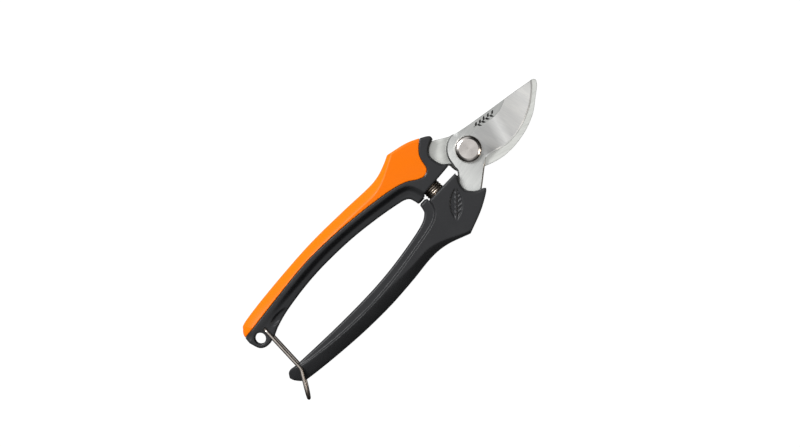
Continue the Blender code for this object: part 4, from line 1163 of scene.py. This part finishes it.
LATCH_FRONT = LATCH_HIGH[2] - LATCH_WIRE / 2
LATCH_BACK = LATCH_LOW[2] + LATCH_WIRE / 2
LATCH_BEND, LATCH_TIP, LATCH_STUB = (-147.6, -16.3), (-156.6, -30.2), 5.0
latch_end = (LATCH_FRONT - LATCH_BACK) / 2 - 0.05
latch_points = rounded_path([
    ((*LATCH_PIVOT, LATCH_FRONT - LATCH_STUB), 0.0), ((*LATCH_PIVOT, LATCH_FRONT), LATCH_WIRE),
    ((*LATCH_BEND, LATCH_FRONT), 3 * LATCH_WIRE), ((*LATCH_TIP, LATCH_FRONT), latch_end),
    ((*LATCH_TIP, LATCH_BACK), latch_end), ((*LATCH_BEND, LATCH_BACK), 3 * LATCH_WIRE),
    ((*LATCH_PIVOT, LATCH_BACK), LATCH_WIRE), ((*LATCH_PIVOT, LATCH_BACK + LATCH_STUB), 0.0),
])
latch_line = bpy.data.meshes.new("latch_line")
latch_runs = [(i, i + 1) for i in range(len(latch_points) - 1)]
latch_line.from_pydata([point * MM for point in latch_points], latch_runs, [])
LATCH_STEEL = steel(
    "latch_wire", (0.42, 0.38, 0.345), (0.50, 0.455, 0.415), (0.36, 0.46), (500.0, 500.0, 500.0), 0.05,
)
latch_mesh = drawn("latch", latch_line, bent_wire(), {
    "Wire Radius": LATCH_WIRE / 2 * MM, "Material": LATCH_STEEL,
})
place_piece("latch", latch_mesh, "latch", "spring_wire", ["wire_latch"], LATCH_STEEL)


# ---- Floor, light and camera: a white table under a soft white ceiling ----
# The key light stands on the grip's side, and a small warm card across from it lifts the metal. The ceiling
# is bright overhead and beyond the grip, darker at the sides, and dimmed on matt faces.
floor_mesh = bpy.data.meshes.new("floor")
FLOOR_HALF = 3.0
floor_corners = [(FLOOR_HALF * x, FLOOR_HALF * y, 0.0) for x, y in ((-1, -1), (1, -1), (1, 1), (-1, 1))]
floor_mesh.from_pydata(floor_corners, [], [(0, 1, 2, 3)])
floor = bpy.data.objects.new("floor", floor_mesh)
bpy.context.scene.collection.objects.link(floor)
FLOOR_WHITE = bpy.data.materials.new("floor_white")
FLOOR_WHITE.use_nodes = True
paint = FLOOR_WHITE.node_tree.nodes["Principled BSDF"]
paint.inputs["Base Color"].default_value = (0.04, 0.04, 0.04, 1.0)
paint.inputs["Roughness"].default_value = 0.9
paint.inputs["Emission Color"].default_value = (1.0, 1.0, 1.0, 1.0)
paint.inputs["Emission Strength"].default_value = 1.0
floor_mesh.materials.append(FLOOR_WHITE)
floor.visible_glossy = False

world = bpy.data.worlds.new("studio")
bpy.context.scene.world = world
world.use_nodes = True
sky = world.node_tree
direction = node(sky, "ShaderNodeTexCoord")
split = node(sky, "ShaderNodeSeparateXYZ", {"Vector": direction.outputs["Generated"]})
east, north, upwards = (split.outputs[axis] for axis in "XYZ")
SMOOTH = {"interpolation_type": "SMOOTHSTEP"}
leaning = reckon(sky, "MULTIPLY_ADD", north, -0.25, reckon(sky, "MULTIPLY", upwards, 0.95))
overhead = ranged(sky, leaning, 0.45, 0.95, 0.02, 0.68, **SMOOTH)
aside = ranged(sky, reckon(sky, "ABSOLUTE", east), 0.5, 0.7, 1.0, 0.15, **SMOOTH)
southern = ranged(sky, north, -0.78, -0.62, 0.2, 1.0, **SMOOTH)
raised = ranged(sky, upwards, 0.35, 0.52, 0.12, 0.85, **SMOOTH)
northern = ranged(sky, north, 0.38, 0.66, 0.0, raised, **SMOOTH)
above = reckon(sky, "MULTIPLY", reckon(sky, "MULTIPLY", overhead, aside), southern)
matt = ranged(sky, node(sky, "ShaderNodeLightPath").outputs["Is Diffuse Ray"], 0.0, 1.0, 1.0, 0.12)
strength = reckon(sky, "MULTIPLY", reckon(sky, "ADD", above, northern), matt)
sky.links.new(strength, sky.nodes["Background"].inputs["Strength"])
sky.nodes["Background"].inputs["Color"].default_value = (1.0, 1.0, 1.0, 1.0)


LIT_POINT = Vector((-50.0, 0.0, MID_Z))


def softbox(name, place, size, power, colour=(1.0, 1.0, 1.0)):
    """An area light at place, in millimetres, that faces LIT_POINT on the tool."""
    light = bpy.data.lights.new(name, "AREA")
    light.shape = "DISK"
    light.size = size * MM
    light.energy = power
    light.color = colour
    lamp = bpy.data.objects.new(name, light)
    lamp.location = Vector(place) * MM
    aim = LIT_POINT * MM - lamp.location
    lamp.rotation_euler = aim.to_track_quat("-Z", "Y").to_euler()
    bpy.context.scene.collection.objects.link(lamp)
    return lamp


softbox("key", (-150.0, 720.0, 900.0), 520.0, 16.5)
card = softbox("card", (420.0, -700.0, 520.0), 330.0, 1.9, (1.0, 0.88, 0.76))
card.visible_diffuse = False

VIEW_CENTRE = (-54.4, -0.95)
VIEW_DISTANCE, VIEW_WIDTH, VIEW_ROLL = 1200.0, 432.0, 46.5
SENSOR_WIDTH = 36.0
camera_data = bpy.data.cameras.new("camera")
camera_data.sensor_width = SENSOR_WIDTH
camera_data.lens = SENSOR_WIDTH * VIEW_DISTANCE / VIEW_WIDTH
camera = bpy.data.objects.new("camera", camera_data)
camera.location = Vector((*VIEW_CENTRE, MID_Z + VIEW_DISTANCE)) * MM
camera.rotation_euler = (0.0, 0.0, math.radians(-VIEW_ROLL))
bpy.context.scene.collection.objects.link(camera)
bpy.context.scene.camera = camera
bpy.context.scene.view_settings.view_transform = "Standard"
